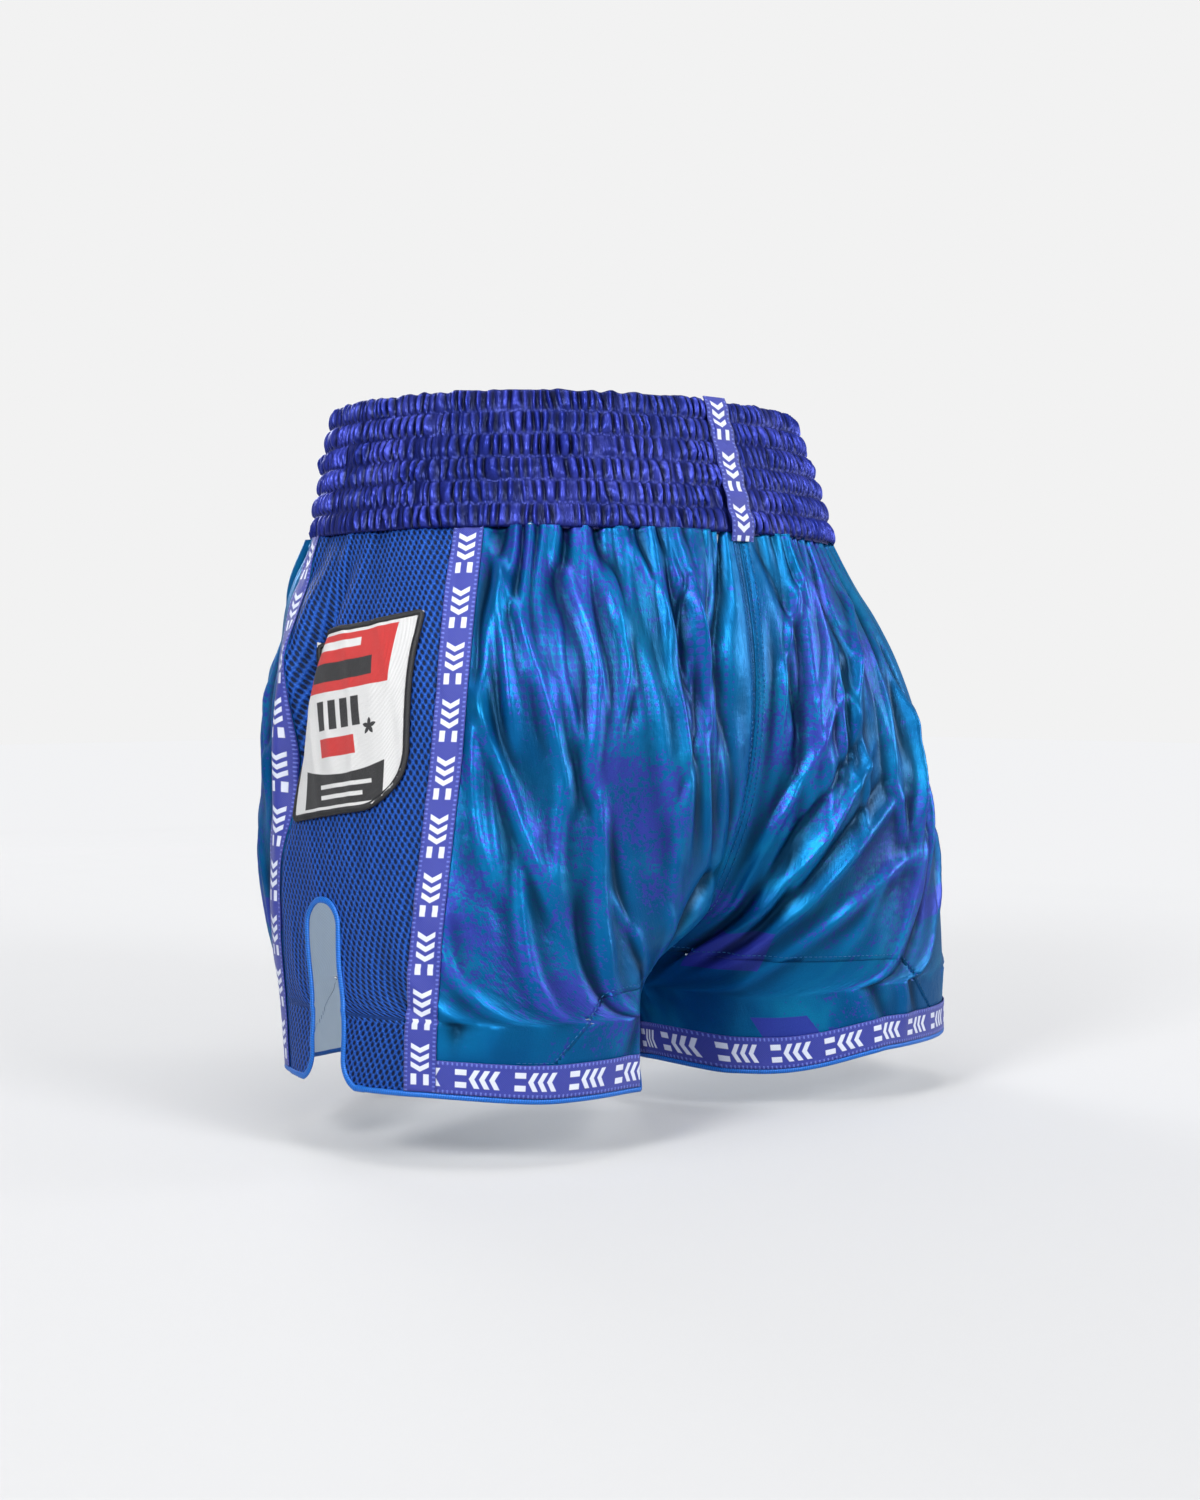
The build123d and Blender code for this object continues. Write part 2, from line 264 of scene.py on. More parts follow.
class LegForm(Form):
    """The leg form, also addressed by the share of the way round from the centre back to the centre front."""

    def __init__(self) -> None:
        """Measures the way round the leg at close levels."""
        super().__init__(LEG_STATIONS)
        self._levels = np.linspace(-0.002, SEAM_Z + 0.002, 267)
        cx, rx, *_ = self.values(self._levels)
        ratio = np.clip(cx / rx, 0.0, 1.0)
        n = self.values(self._levels)[4]
        last = math.pi - np.arccos(ratio ** (n / 2))
        share = np.linspace(1.0, -1.0, 1601)
        angles = last[:, None] * share[None, :]
        points = self.place(angles, self._levels[:, None] + 0 * angles)
        steps = np.linalg.norm(np.diff(points[..., :2], axis=1), axis=-1)
        arc = np.concatenate([np.zeros((len(steps), 1)), np.cumsum(steps, axis=1)], axis=1)
        self.round_length = arc[:, -1]
        self._q = np.linspace(0.0, 1.0, 1201)
        self._angles, self._arcs = angles, arc
        self._table = np.stack(
            [np.interp(self._q * arc[i, -1], arc[i], angles[i]) for i in range(len(arc))]
        )

    def angle(self, q: np.ndarray, z: np.ndarray) -> np.ndarray:
        """The angle at each share of the way round and height.

        Args:
            q: Shares of the way round.
            z: Heights.

        Returns:
            The angles.
        """
        q, z = np.broadcast_arrays(q, z)
        fi = np.clip((z - self._levels[0]) / (self._levels[1] - self._levels[0]), 0,
                     len(self._levels) - 1.001)
        fj = np.clip(q, 0, 1) * (len(self._q) - 1.001)
        i, j = fi.astype(int), fj.astype(int)
        a, b = fi - i, fj - j
        t = self._table
        below = t[i, j] * (1 - b) + t[i, j + 1] * b
        above = t[i + 1, j] * (1 - b) + t[i + 1, j + 1] * b
        return below * (1 - a) + above * a

    def share_at_y(self, y: np.ndarray, z: np.ndarray) -> np.ndarray:
        """The share of the way round at which the outer wall has that y, at each height.

        Args:
            y: The y of each place.
            z: Heights.

        Returns:
            The shares.
        """
        y, z = np.broadcast_arrays(np.asarray(y, float), np.asarray(z, float))
        _, _, ry, cy, n = self.values(z)
        s = np.clip((y - cy) / ry, -1, 1)
        t = np.sign(s) * np.arcsin(np.abs(s) ** (n / 2))
        flat_t, flat_z = t.ravel(), z.ravel()
        step = self._levels[1] - self._levels[0]
        index = np.clip(np.round((flat_z - self._levels[0]) / step), 0, len(self._levels) - 1)
        out = np.empty_like(flat_t)
        for row in np.unique(index.astype(int)):
            here = index == row
            angles, arc = self._angles[row][::-1], self._arcs[row][::-1]
            out[here] = np.interp(flat_t[here], angles, arc) / arc[0]
        return out.reshape(t.shape)

    def length(self, z: np.ndarray) -> np.ndarray:
        """The distance from the centre back round to the centre front at each height."""
        return np.interp(z, self._levels, self.round_length)


def edge_line(heights: Sequence[float], values: Sequence[float]) -> Callable[[np.ndarray], np.ndarray]:
    """A smooth line of y over height through the given places.

    Args:
        heights: Rising heights.
        values: The value at each height.

    Returns:
        The line, as a function of height.
    """
    h, v = np.array(heights), np.array(values)
    m = np.gradient(v, h)

    def at(z: np.ndarray) -> np.ndarray:
        """The line's y at each height."""
        return curve_through(h, v, m, z)

    return at


MESH_BACK_EDGE = edge_line((0.0, 0.126, 0.200, 0.262), (0.081, 0.0775, 0.070, 0.048))
MESH_FRONT_EDGE = edge_line((0.0, 0.126, 0.200, 0.262), (-0.004, -0.022, -0.030, -0.0515))
TAPE_WIDTH = 0.015
UV_SHIFT = {Side.LEFT: 0.0, Side.RIGHT: 1.37}


# ---------------------------------------------------------------- folds


@dataclass(frozen=True)
class Fold:
    """One fold of the cloth, along a bent line in (arc, z), where arc runs from the centre back."""

    side: Side
    start: tuple[float, float]
    end: tuple[float, float]
    width: float
    height: float
    bend: float = 0.0

    def lift(self, arc: np.ndarray, z: np.ndarray) -> np.ndarray:
        """The fold's height at each place.

        Args:
            arc: Distances round the leg from the centre back.
            z: Heights.

        Returns:
            The height off the form at each place.
        """
        ax, az = self.start
        bx, bz = self.end
        dx, dz = bx - ax, bz - az
        length = math.hypot(dx, dz)
        along = ((arc - ax) * dx + (z - az) * dz) / length**2
        across = ((arc - ax) * dz - (z - az) * dx) / length
        across = across - self.bend * 4 * along * (1 - along)
        taper = smooth(-0.08, 0.25, along) * (1 - smooth(0.7, 1.1, along))
        ridge = 1.0 / (1.0 + (across / self.width) ** 2) ** 2
        return self.height * ridge * taper


@dataclass
class FoldField:
    """All the folds of one leg: gathers under the band, long soft folds and the placed ones."""

    side: Side
    form: LegForm
    placed: tuple[Fold, ...] = ()
    folds: list[Fold] = field(default_factory=list)

    def __post_init__(self) -> None:
        """Draws the random folds and adds the placed ones."""
        seed = 11 if self.side is Side.LEFT else 23
        self._noise = [Noise(seed + k) for k in range(6)]
        rng = np.random.default_rng(seed)
        for _ in range(64):
            arc, top = rng.uniform(0.012, 0.50), rng.uniform(0.16, 0.262)
            run = rng.uniform(0.05, 0.13)
            lean = rng.normal(0.0, 0.012)
            sign = 1.0 if rng.random() < 0.65 else -0.9
            self.folds.append(
                Fold(self.side, (arc, top), (arc + lean, top - run), rng.uniform(0.0032, 0.0062),
                     sign * rng.uniform(0.0014, 0.0034), rng.normal(0.0, 0.004))
            )
        for _ in range(34):
            arc, top = rng.uniform(0.020, 0.49), rng.uniform(0.075, 0.165)
            run, lean = rng.uniform(0.05, 0.11), rng.normal(0.006, 0.014)
            sign = 1.0 if rng.random() < 0.6 else -0.8
            self.folds.append(
                Fold(self.side, (arc, top), (arc + lean, max(top - run, 0.004)), rng.uniform(0.0040, 0.0085),
                     sign * rng.uniform(0.0014, 0.0034), rng.normal(0.0, 0.005))
            )
        self.folds.extend(fold for fold in self.placed if fold.side is self.side)

    def lift(self, q: np.ndarray, z: np.ndarray) -> np.ndarray:
        """The outward lift of the cloth at each share of the way round and height.

        Args:
            q: Shares of the way round.
            z: Heights.

        Returns:
            The height off the form at each place.
        """
        length = self.form.length(z)
        arc = q * 0.44
        true_arc = q * length
        drop = SEAM_Z - z
        n = self._noise
        warp = 0.9 * n[0](arc / 0.022, drop / 0.05) + 0.5 * n[1](arc / 0.009, drop / 0.03)
        fine = 2 * np.abs(np.sin(math.pi * arc / 0.0078 + 1.6 * warp)) - 1.2
        fine = fine * (0.6 + 0.4 * n[2](arc / 0.013, drop / 0.02))
        middle = 2 * np.abs(np.sin(math.pi * arc / 0.0160 + 2.2 * warp)) - 1.2
        middle = middle * (0.6 + 0.4 * n[3](arc / 0.02, drop / 0.05))
        broad = n[4](arc / 0.019 + 0.6 * warp, drop / 0.16)
        soft = n[5](arc / 0.042, drop / 0.13 + 3.0)
        out = 0.0017 * fine * np.exp(-drop / 0.024)
        out = out + 0.0030 * middle * np.exp(-drop / 0.060)
        out = out + 0.0058 * broad * np.exp(-((drop - 0.05) / 0.095) ** 2)
        out = out + 0.0052 * soft * smooth(0.02, 0.11, drop)
        for fold in self.folds:
            out = out + fold.lift(true_arc, z)
        seam = np.minimum(true_arc, length - true_arc)
        out = out * smooth(0.0, 0.014, seam) - 0.0012 * np.exp(-((seam / 0.005) ** 2))
        return self._calm(out, q, z)

    def _calm(self, out: np.ndarray, q: np.ndarray, z: np.ndarray) -> np.ndarray:
        """Flattens the folds where tapes and mesh stiffen the cloth.

        Args:
            out: The lifts so far.
            q: Shares of the way round.
            z: Heights.

        Returns:
            The flattened lifts.
        """
        length = self.form.length(z)
        back = (q - self.form.share_at_y(MESH_BACK_EDGE(z) + TAPE_WIDTH / 2, z)) * length
        front = (q - self.form.share_at_y(MESH_FRONT_EDGE(z) - TAPE_WIDTH / 2, z)) * length
        mesh = smooth(0.004, 0.014, back) * smooth(0.004, 0.014, -front)
        near = np.exp(-((back / 0.010) ** 2)) + np.exp(-((front / 0.010) ** 2))
        hem = 1.0 - 0.35 * (1.0 - smooth(0.0, 0.03, z))
        return out * (1 - 0.75 * mesh) * (1 - 0.8 * np.clip(near, 0, 1)) * hem


@dataclass(frozen=True)
class Crease:
    """The deep vertical crease in the left mesh panel, in front of the badge's middle."""

    depth: float = 0.0140
    width: float = 0.0075

    def lift(self, y: np.ndarray, z: np.ndarray) -> np.ndarray:
        """The inward drop of the crease at each y and height.

        Args:
            y: The y of each place.
            z: Heights.

        Returns:
            The height off the form at each place.
        """
        middle = -0.0135 - 0.0060 * smooth(0.215, 0.125, z)
        run = smooth(0.100, 0.165, z) * (1 - smooth(0.210, 0.262, z))
        d = y - middle
        dip = -self.depth * np.exp(-((d / self.width) ** 2))
        rise = 0.25 * self.depth * np.exp(-(((d + 0.017) / 0.008) ** 2))
        return (dip + rise) * run


class Leg:
    """The cloth surface of one leg, with its folds."""

    def __init__(self, side: Side, form: LegForm, folds: FoldField, crease: Optional[Crease]) -> None:
        """Keeps the form, the folds and the crease."""
        self.side, self.form, self.folds, self.crease = side, form, folds, crease

    def base(self, q: np.ndarray, z: np.ndarray) -> np.ndarray:
        """Unfolded surface points of the leg, still on the positive x side."""
        q, z = np.broadcast_arrays(np.asarray(q, float), np.asarray(z, float))
        return self.form.place(self.form.angle(q, z), z)

    def outward(self, q: np.ndarray, z: np.ndarray) -> np.ndarray:
        """The unfolded leg's outward unit normal, on the leg's own side."""
        return self.form.normal(self.base(q, z)) * np.array([self.side.value, 1.0, 1.0])

    def settle(self, p: np.ndarray) -> np.ndarray:
        """Lets the inner hem hang lower and draws in its back corner, sharply on the left leg.

        Args:
            p: Surface points, which may be changed.

        Returns:
            The points, moved.
        """
        left = self.side is Side.LEFT
        x, y, z = p[..., 0].copy(), p[..., 1].copy(), p[..., 2]
        near_hem = 1.0 - smooth(0.0, 0.070, z)
        inner = (1.0 - smooth(0.030, 0.095, x)) * smooth(-0.010, 0.040, y)
        outer = smooth(0.130, 0.185, x)
        apart = smooth(0.0, 0.022, x)
        drop = 0.0045 + (0.0 if left else 0.0050) * apart
        p[..., 2] = z + near_hem * ((0.004 if left else 0.0) * outer - drop * inner)
        limit = 0.1205 + 1.11 * (x - 0.077)
        share = (1.0 - smooth(0.036, 0.080, z)) * (0.92 - (0.0 if left else 0.72) * apart)
        p[..., 1] -= np.maximum(y - limit, 0.0) * share
        return p

    def points(self, q: np.ndarray, z: np.ndarray, lift: np.ndarray | float = 0.0) -> np.ndarray:
        """Cloth points, folded, lifted outwards and on the leg's own side.

        Args:
            q: Shares of the way round.
            z: Heights.
            lift: Extra distance off the form.

        Returns:
            The points.
        """
        q, z = np.broadcast_arrays(np.asarray(q, float), np.asarray(z, float))
        p = self.base(q, z)
        n = self.form.normal(p)
        height = self.folds.lift(q, z)
        if self.crease is not None:
            outer = smooth(0.0, 0.02, p[..., 0] - 0.11)
            height = height + outer * self.crease.lift(p[..., 1], z)
        n[..., 0] *= smooth(0.0, 0.006, p[..., 0])
        p = p + n * (height + lift)[..., None]
        p = self.settle(p)
        p[..., 0] = np.maximum(p[..., 0], 0.0) * self.side.value
        return p


# ---------------------------------------------------------------- mesh building


def new_piece(name: str, bm: bmesh.types.BMesh) -> bpy.types.Object:
    """Turns a finished bmesh into a smooth object in the scene.

    Args:
        name: The name.
        bm: The finished bmesh, which is freed.

    Returns:
        The new object.
    """
    for face in bm.faces:
        face.smooth = True
    mesh = bpy.data.meshes.new(name)
    bm.to_mesh(mesh)
    bm.free()
    piece = bpy.data.objects.new(name, mesh)
    bpy.context.scene.collection.objects.link(piece)
    return piece


class Patch:
    """A rectangular sheet of grid points, made with Blender's grid operator."""

    def __init__(self, name: str, points: np.ndarray, uv: np.ndarray, keep: Optional[np.ndarray] = None,
                 flip: bool = False, closed: bool = False, relief: Optional[np.ndarray] = None) -> None:
        """Keeps the grid, how it is closed and turned, and the painted shade of each grid place."""
        self.name, self.points, self.uv, self.keep = name, points, uv, keep
        self.flip, self.closed, self.relief = flip, closed, relief

    def build(self) -> bpy.types.Object:
        """Makes the mesh object, with its UV map in metres and its painted shade as a vertex attribute.

        Returns:
            The new object, linked to the scene.
        """
        rows, cols = self.points.shape[:2]
        bm = bmesh.new()
        bmesh.ops.create_grid(bm, x_segments=cols - 1, y_segments=rows - 1, size=0.5)
        uv_layer = bm.loops.layers.uv.new("UVMap")
        painted_shade_layer = bm.verts.layers.float.new("Relief")
        where = {}
        for vert in bm.verts:
            j = int(round((vert.co.x + 0.5) * (cols - 1)))
            i = int(round((vert.co.y + 0.5) * (rows - 1)))
            where[vert] = (i, j)
        for face in bm.faces:
            for loop in face.loops:
                loop[uv_layer].uv = self.uv[where[loop.vert]]
        for vert, place in where.items():
            # Painted shade: 1 leaves the base colour as it is, and lower values darken it in the fold valleys.
            vert[painted_shade_layer] = 1.0 if self.relief is None else float(self.relief[place])
            vert.co = self.points[place]
        if self.keep is not None:
            gone = [f for f in bm.faces if not all(self.keep[where[v]] for v in f.verts)]
            bmesh.ops.delete(bm, geom=gone, context="FACES")
        if self.closed:
            bmesh.ops.remove_doubles(bm, verts=bm.verts, dist=1e-6)
        if self.flip:
            bmesh.ops.reverse_faces(bm, faces=bm.faces)
        return new_piece(self.name, bm)


def thicken(piece: bpy.types.Object, thickness: float, inner_slot: int = 0) -> None:
    """Gives a sheet its thickness, inwards from the modelled face.

    Args:
        piece: The object.
        thickness: The sheet's thickness.
        inner_slot: How many slots on the inner face's material lies.
    """
    mod = piece.modifiers.new("Thickness", "SOLIDIFY")
    mod.thickness = thickness
    mod.offset = -1.0
    mod.material_offset = inner_slot
    mod.use_even_offset = False


def snap_to_line(values: Callable[[np.ndarray, np.ndarray], np.ndarray], q: np.ndarray, z: np.ndarray,
                 length: np.ndarray) -> tuple[np.ndarray, np.ndarray, np.ndarray]:
    """Moves the grid places nearest to a cut onto it.

    Args:
        values: Signed distance to the cut at each (q, z), positive on the kept side.
        q: Shares of the way round.
        z: Heights.
        length: Distance round the leg at each place.

    Returns:
        The moved q and z, and which places to keep.
    """
    step, pull, spare = 4e-4, 0.62 * CLOTH_STEP, 0.0003
    for _ in range(3):
        d = values(q, z)
        gs = (values(q + step / length, z) - values(q - step / length, z)) / (2 * step)
        gz = (values(q, z + step) - values(q, z - step)) / (2 * step)
        size = np.maximum(gs * gs + gz * gz, 0.2)
        near = np.abs(d) < pull
        q = np.where(near, q - d * gs / size / length, q)
        z = np.where(near, z - d * gz / size, z)
    return q, z, values(q, z) > -spare


def tube(name: str, path: np.ndarray, out: np.ndarray, width: float, height: float, sides: int = 12,
         loop: bool = False) -> bpy.types.Object:
    """A flattened round strip along a path.

    Args:
        name: Name of the piece.
        path: Points along the middle.
        out: Outward unit direction at each point.
        width: Half the strip's width, in the surface.
        height: Half the strip's height, off the surface.
        sides: Points around the section.
        loop: Whether the path closes on itself.

    Returns:
        The new object.
    """
    if loop:
        path, out = np.vstack([path, path[:1]]), np.vstack([out, out[:1]])
        ahead = np.roll(path[:-1], -1, axis=0) - np.roll(path[:-1], 1, axis=0)
        ahead = np.vstack([ahead, ahead[:1]])
    else:
        ahead = np.gradient(path, axis=0)
    ahead /= np.linalg.norm(ahead, axis=1, keepdims=True)
    across = np.cross(out, ahead)
    across /= np.linalg.norm(across, axis=1, keepdims=True)
    lift = np.cross(ahead, across)
    turn = np.linspace(0, 2 * math.pi, sides + 1)
    ring = (
        path[:, None]
        + across[:, None] * (width * np.cos(turn))[None, :, None]
        + lift[:, None] * (height * np.sin(turn))[None, :, None]
    )
    run = run_along(path)
    uv = np.stack(np.broadcast_arrays(run[:, None], (turn / (2 * math.pi) * 4 * width)[None, :]), axis=-1)
    return Patch(name, ring, uv, closed=True).build()


def stitches(name: str, rows: Sequence[tuple[np.ndarray, np.ndarray]], pitch: float = 0.0027,
             radius: float = 0.00028) -> bpy.types.Object:
    """Rows of short raised stitches along paths.

    Args:
        name: Name of the piece.
        rows: For each row, its points and their outward directions.
        pitch: Distance from stitch to stitch.
        radius: Half the thread's thickness.

    Returns:
        The new object.
    """
    bm = bmesh.new()
    for path, out in rows:
        run = run_along(path)
        for at in np.arange(pitch / 2, run[-1], pitch):
            spot = Vector([float(np.interp(at, run, path[:, k])) for k in range(3)])
            tip = Vector([float(np.interp(at + pitch * 0.4, run, path[:, k])) for k in range(3)])
            up = Vector([float(np.interp(at, run, out[:, k])) for k in range(3)])
            ahead = (tip - spot).normalized()
            side = up.cross(ahead).normalized()
            up = ahead.cross(side)
            turn = Matrix((ahead, side, up)).transposed().to_4x4()
            shape = Matrix.Diagonal((pitch * 0.40, radius * 1.1, radius, 1.0))
            bmesh.ops.create_icosphere(bm, subdivisions=1, radius=1.0,
                                       matrix=Matrix.Translation(spot) @ turn @ shape)
    return new_piece(name, bm)


# ---------------------------------------------------------------- finishes


Colour = tuple[float, float, float]
Socket = bpy.types.NodeSocket
Value = Union[bpy.types.NodeSocket, float, Colour]


class Graph:
    """A short way to write a node tree."""

    def __init__(self, tree: bpy.types.NodeTree) -> None:
        """Takes the tree to write in."""
        self.tree = tree

    def add(self, kind: str, **props: object) -> bpy.types.Node:
        """A new node with the given properties.

        Args:
            kind: The node's type.
            props: Properties set on it.

        Returns:
            The node.
        """
        node = self.tree.nodes.new(kind)
        for key, value in props.items():
            setattr(node, key, value)
        return node

    def put(self, value: Value, socket: Socket) -> None:
        """Links a socket, or sets a plain value."""
        if isinstance(value, bpy.types.NodeSocket):
            self.tree.links.new(value, socket)
        elif isinstance(value, tuple) and len(value) == 3 and socket.type == "RGBA":
            socket.default_value = (*value, 1.0)
        else:
            socket.default_value = value

    def math(self, op: str, a: Value, b: Value = 0.0, c: Value = 0.0, clamp: bool = False) -> Socket:
        """A math node's result.

        Args:
            op: The operation.
            a: The first value.
            b: The second value.
            c: The third value.
            clamp: Whether the result is kept from 0 to 1.

        Returns:
            The result.
        """
        node = self.add("ShaderNodeMath", operation=op, use_clamp=clamp)
        for value, socket in zip((a, b, c), node.inputs):
            self.put(value, socket)
        return node.outputs[0]

    def step(self, low: float, high: float, value: Value) -> Socket:
        """A soft step from 0 to 1 as value goes from low to high.

        Args:
            low: The lower end.
            high: The upper end.
            value: A socket, a number or a colour.

        Returns:
            The result.
        """
        node = self.add("ShaderNodeMapRange", interpolation_type="SMOOTHSTEP")
        self.put(value, node.inputs["Value"])
        node.inputs["From Min"].default_value = low
        node.inputs["From Max"].default_value = high
        return node.outputs["Result"]

    def mix(self, share: Value, a: Value, b: Value) -> Socket:
        """A blend of two colours.

        Args:
            share: How much of b is taken.
            a: The first value.
            b: The second value.

        Returns:
            The colour.
        """
        node = self.add("ShaderNodeMix", data_type="RGBA")
        self.put(share, node.inputs["Factor"])
        self.put(a, node.inputs[6])
        self.put(b, node.inputs[7])
        return node.outputs[2]

    def noise(self, vector: Socket, scale: float, detail: float = 2.0, rough: float = 0.5,
              shift: float = 0.0) -> Socket:
        """Noise from 0 to 1.

        Args:
            vector: Where the noise is read.
            scale: How many grains fit in a metre.
            detail: How many finer layers are added.
            rough: How strong the finer layers are.
            shift: How far the pattern is moved.

        Returns:
            The noise.
        """
        if shift:
            move = self.add("ShaderNodeVectorMath", operation="ADD")
            self.put(vector, move.inputs[0])
            move.inputs[1].default_value = (shift, shift, 0.0)
            vector = move.outputs[0]
        node = self.add("ShaderNodeTexNoise")
        self.put(vector, node.inputs["Vector"])
        node.inputs["Scale"].default_value = scale
        node.inputs["Detail"].default_value = detail
        node.inputs["Roughness"].default_value = rough
        return node.outputs[0]

    def uv(self) -> tuple[Socket, Socket, Socket]:
        """The UV vector and its two numbers, in metres."""
        coords = self.add("ShaderNodeUVMap", uv_map="UVMap")
        split = self.add("ShaderNodeSeparateXYZ")
        self.tree.links.new(coords.outputs[0], split.inputs[0])
        return coords.outputs[0], split.outputs[0], split.outputs[1]

    def relief(self, low: float) -> Socket:
        """The piece's painted shade: a share of the base colour, from low in its fold valleys to 1 on its crests.
        """
        node = self.add("ShaderNodeAttribute", attribute_name="Relief")
        return self.math("MULTIPLY_ADD", node.outputs["Fac"], 1.0 - low, low)

    def with_painted_shade(self, colour: Value, amount: Value) -> Socket:
        """A colour with painted shade: made darker where amount is under 1."""
        return self.mix(amount, (0.0, 0.0, 0.004), colour)

    def inside(self, value: Value, low: float, high: float, soft: float = 0.0002) -> Socket:
        """1 where value lies from low to high."""
        return self.math("MULTIPLY", self.step(low - soft, low + soft, value),
                         self.math("SUBTRACT", 1.0, self.step(high - soft, high + soft, value)))

    def group(self, name: str, **values: Value) -> Socket:
        """A shared node group's first output.

        Args:
            name: The name.
            values: Values for the group's inputs.

        Returns:
            The group's output.
        """
        node = self.add("ShaderNodeGroup", node_tree=bpy.data.node_groups[name])
        for key, value in values.items():
            self.put(value, node.inputs[key])
        return node.outputs[0]

    def bump(self, height: Value, distance: float, strength: float = 1.0) -> Socket:
        """A normal from a height.

        Args:
            height: The height.
            distance: How deep the relief is.
            strength: The bump's strength.

        Returns:
            The normal.
        """
        node = self.add("ShaderNodeBump")
        node.inputs["Strength"].default_value = strength
        node.inputs["Distance"].default_value = distance
        self.put(height, node.inputs["Height"])
        return node.outputs[0]


def shared_group(name: str, inputs: Sequence[tuple[str, str]], draw: Callable) -> None:
    """Makes a node group with the inputs given and one value as output.

    Args:
        name: The group's name.
        inputs: Name and socket type of each input.
        draw: Takes the graph and the input sockets, and returns the output.
    """
    tree = bpy.data.node_groups.new(name, "ShaderNodeTree")
    for label, kind in inputs:
        tree.interface.new_socket(label, in_out="INPUT", socket_type=kind)
    tree.interface.new_socket("Value", in_out="OUTPUT", socket_type="NodeSocketFloat")
    graph = Graph(tree)
    source, result = graph.add("NodeGroupInput"), graph.add("NodeGroupOutput")
    tree.links.new(draw(graph, {label: source.outputs[label] for label, _ in inputs}), result.inputs[0])


def draw_dots(g: Graph, given: dict[str, Socket]) -> Socket:
    """Round dots on a staggered grid, whose radius follows a field.

    Args:
        g: The graph to draw in.
        given: The group's input sockets.

    Returns:
        1 inside the dots.
    """
    u = g.math("DIVIDE", given["U"], given["Pitch"])
    v = g.math("DIVIDE", given["V"], given["Pitch"])
    a, b = g.math("ADD", u, v), g.math("SUBTRACT", u, v)
    da = g.math("SUBTRACT", g.math("FRACT", a), 0.5)
    db = g.math("SUBTRACT", g.math("FRACT", b), 0.5)
    far = g.math("SQRT", g.math("ADD", g.math("MULTIPLY", da, da), g.math("MULTIPLY", db, db)))
    return g.math("SUBTRACT", 1.0, g.step(-0.06, 0.06, g.math("SUBTRACT", far, given["Radius"])))


def draw_weave(g: Graph, given: dict[str, Socket]) -> Socket:
    """The height of a plain weave.

    Args:
        g: The graph to draw in.
        given: The group's input sockets.

    Returns:
        The height.
    """
    u = g.math("MULTIPLY", given["U"], given["Threads"])
    v = g.math("MULTIPLY", given["V"], given["Threads"])
    over = g.math("SINE", u)
    return g.math("MULTIPLY_ADD", g.math("MULTIPLY", over, g.math("SINE", v)), 0.5, 0.5)


def draw_blob(g: Graph, given: dict[str, Socket]) -> Socket:
    """A soft oval, from 1 in its middle to 0 at its rim.

    Args:
        g: The graph to draw in.
        given: The group's input sockets.

    Returns:
        The oval.
    """
    parts = []
    for axis in "UV":
        far = g.math("DIVIDE", g.math("SUBTRACT", given[axis], given[f"Middle {axis}"]),
                     given[f"Reach {axis}"])
        parts.append(g.math("MULTIPLY", far, far))
    return g.math("SUBTRACT", 1.0, g.math("ADD", *parts), clamp=True)


def make_groups() -> None:
    """The node groups that several finishes share."""
    number = "NodeSocketFloat"
    ovals = ("U", "V", "Middle U", "Middle V", "Reach U", "Reach V")
    shared_group("Blob", [(label, number) for label in ovals], draw_blob)
    shared_group("Dots", [("U", number), ("V", number), ("Pitch", number), ("Radius", number)], draw_dots)
    shared_group("Weave", [("U", number), ("V", number), ("Threads", number)], draw_weave)


@dataclass(frozen=True)
class Finish:
    """A plain dyed cloth, and the base of the other finishes."""

    name: str
    colour: Colour
    slot: str
    roughness: float = 0.6
    metallic: float = 0.0
    sheen: float = 0.0
    anisotropic: float = 0.0
    threads: float = 4200.0
    weave_depth: float = 0.00006
    gloss_tint: Colour = (1.0, 1.0, 1.0)
    # Painted light: an emission strength that makes the cloth glow, though it is no lamp.
    glow: float = 0.0

    def material(self) -> bpy.types.Material:
        """The finish as a Blender material, made once."""
        if self.name in bpy.data.materials:
            return bpy.data.materials[self.name]
        material = bpy.data.materials.new(self.name)
        material.use_nodes = True
        shader = material.node_tree.nodes["Principled BSDF"]
        shader.inputs["Roughness"].default_value = self.roughness
        shader.inputs["Metallic"].default_value = self.metallic
        shader.inputs["Sheen Weight"].default_value = self.sheen
        shader.inputs["Anisotropic"].default_value = self.anisotropic
        shader.inputs["Specular Tint"].default_value = (*self.gloss_tint, 1.0)
        shader.inputs["Emission Color"].default_value = (*self.colour, 1.0)
        shader.inputs["Emission Strength"].default_value = self.glow
        self.draw(Graph(material.node_tree), shader)
        return material

    def draw(self, g: Graph, shader: bpy.types.Node) -> None:
        """Fills in the finish's own nodes.

        Args:
            g: The graph to draw in.
            shader: The material's shader.
        """
        _, u, v = g.uv()
        weave = g.group("Weave", U=u, V=v, Threads=self.threads)
        shade = g.mix(g.math("MULTIPLY", weave, 0.25), self.colour, tuple(c * 0.5 for c in self.colour))
        g.put(shade, shader.inputs["Base Color"])
        g.put(g.bump(weave, self.weave_depth), shader.inputs["Normal"])


DOT_ZONES = (
    (0.118, 0.195, 0.060, 0.045), (0.040, 0.190, 0.028, 0.070), (1.410, 0.205, 0.030, 0.050),
    (1.500, 0.110, 0.050, 0.040), (0.060, 0.030, 0.050, 0.030),
)
SPECKLE_ZONES = (
    (0.150, 0.080, 0.070, 0.090), (0.090, 0.120, 0.035, 0.045), (1.408, 0.150, 0.040, 0.060),
    (1.470, 0.190, 0.035, 0.060), (0.380, 0.120, 0.060, 0.080), (1.760, 0.110, 0.060, 0.090),
)
PRINT_BARS = (
    (1.455, 1.560, -0.110, -0.098, 0.115), (1.420, 1.446, 0.046, 0.064, 0.0),
    (1.458, 1.486, 0.006, 0.026, 0.0), (0.330, 0.400, 0.070, 0.084, 0.0), (1.690, 1.760, 0.180, 0.196, 0.0),
)


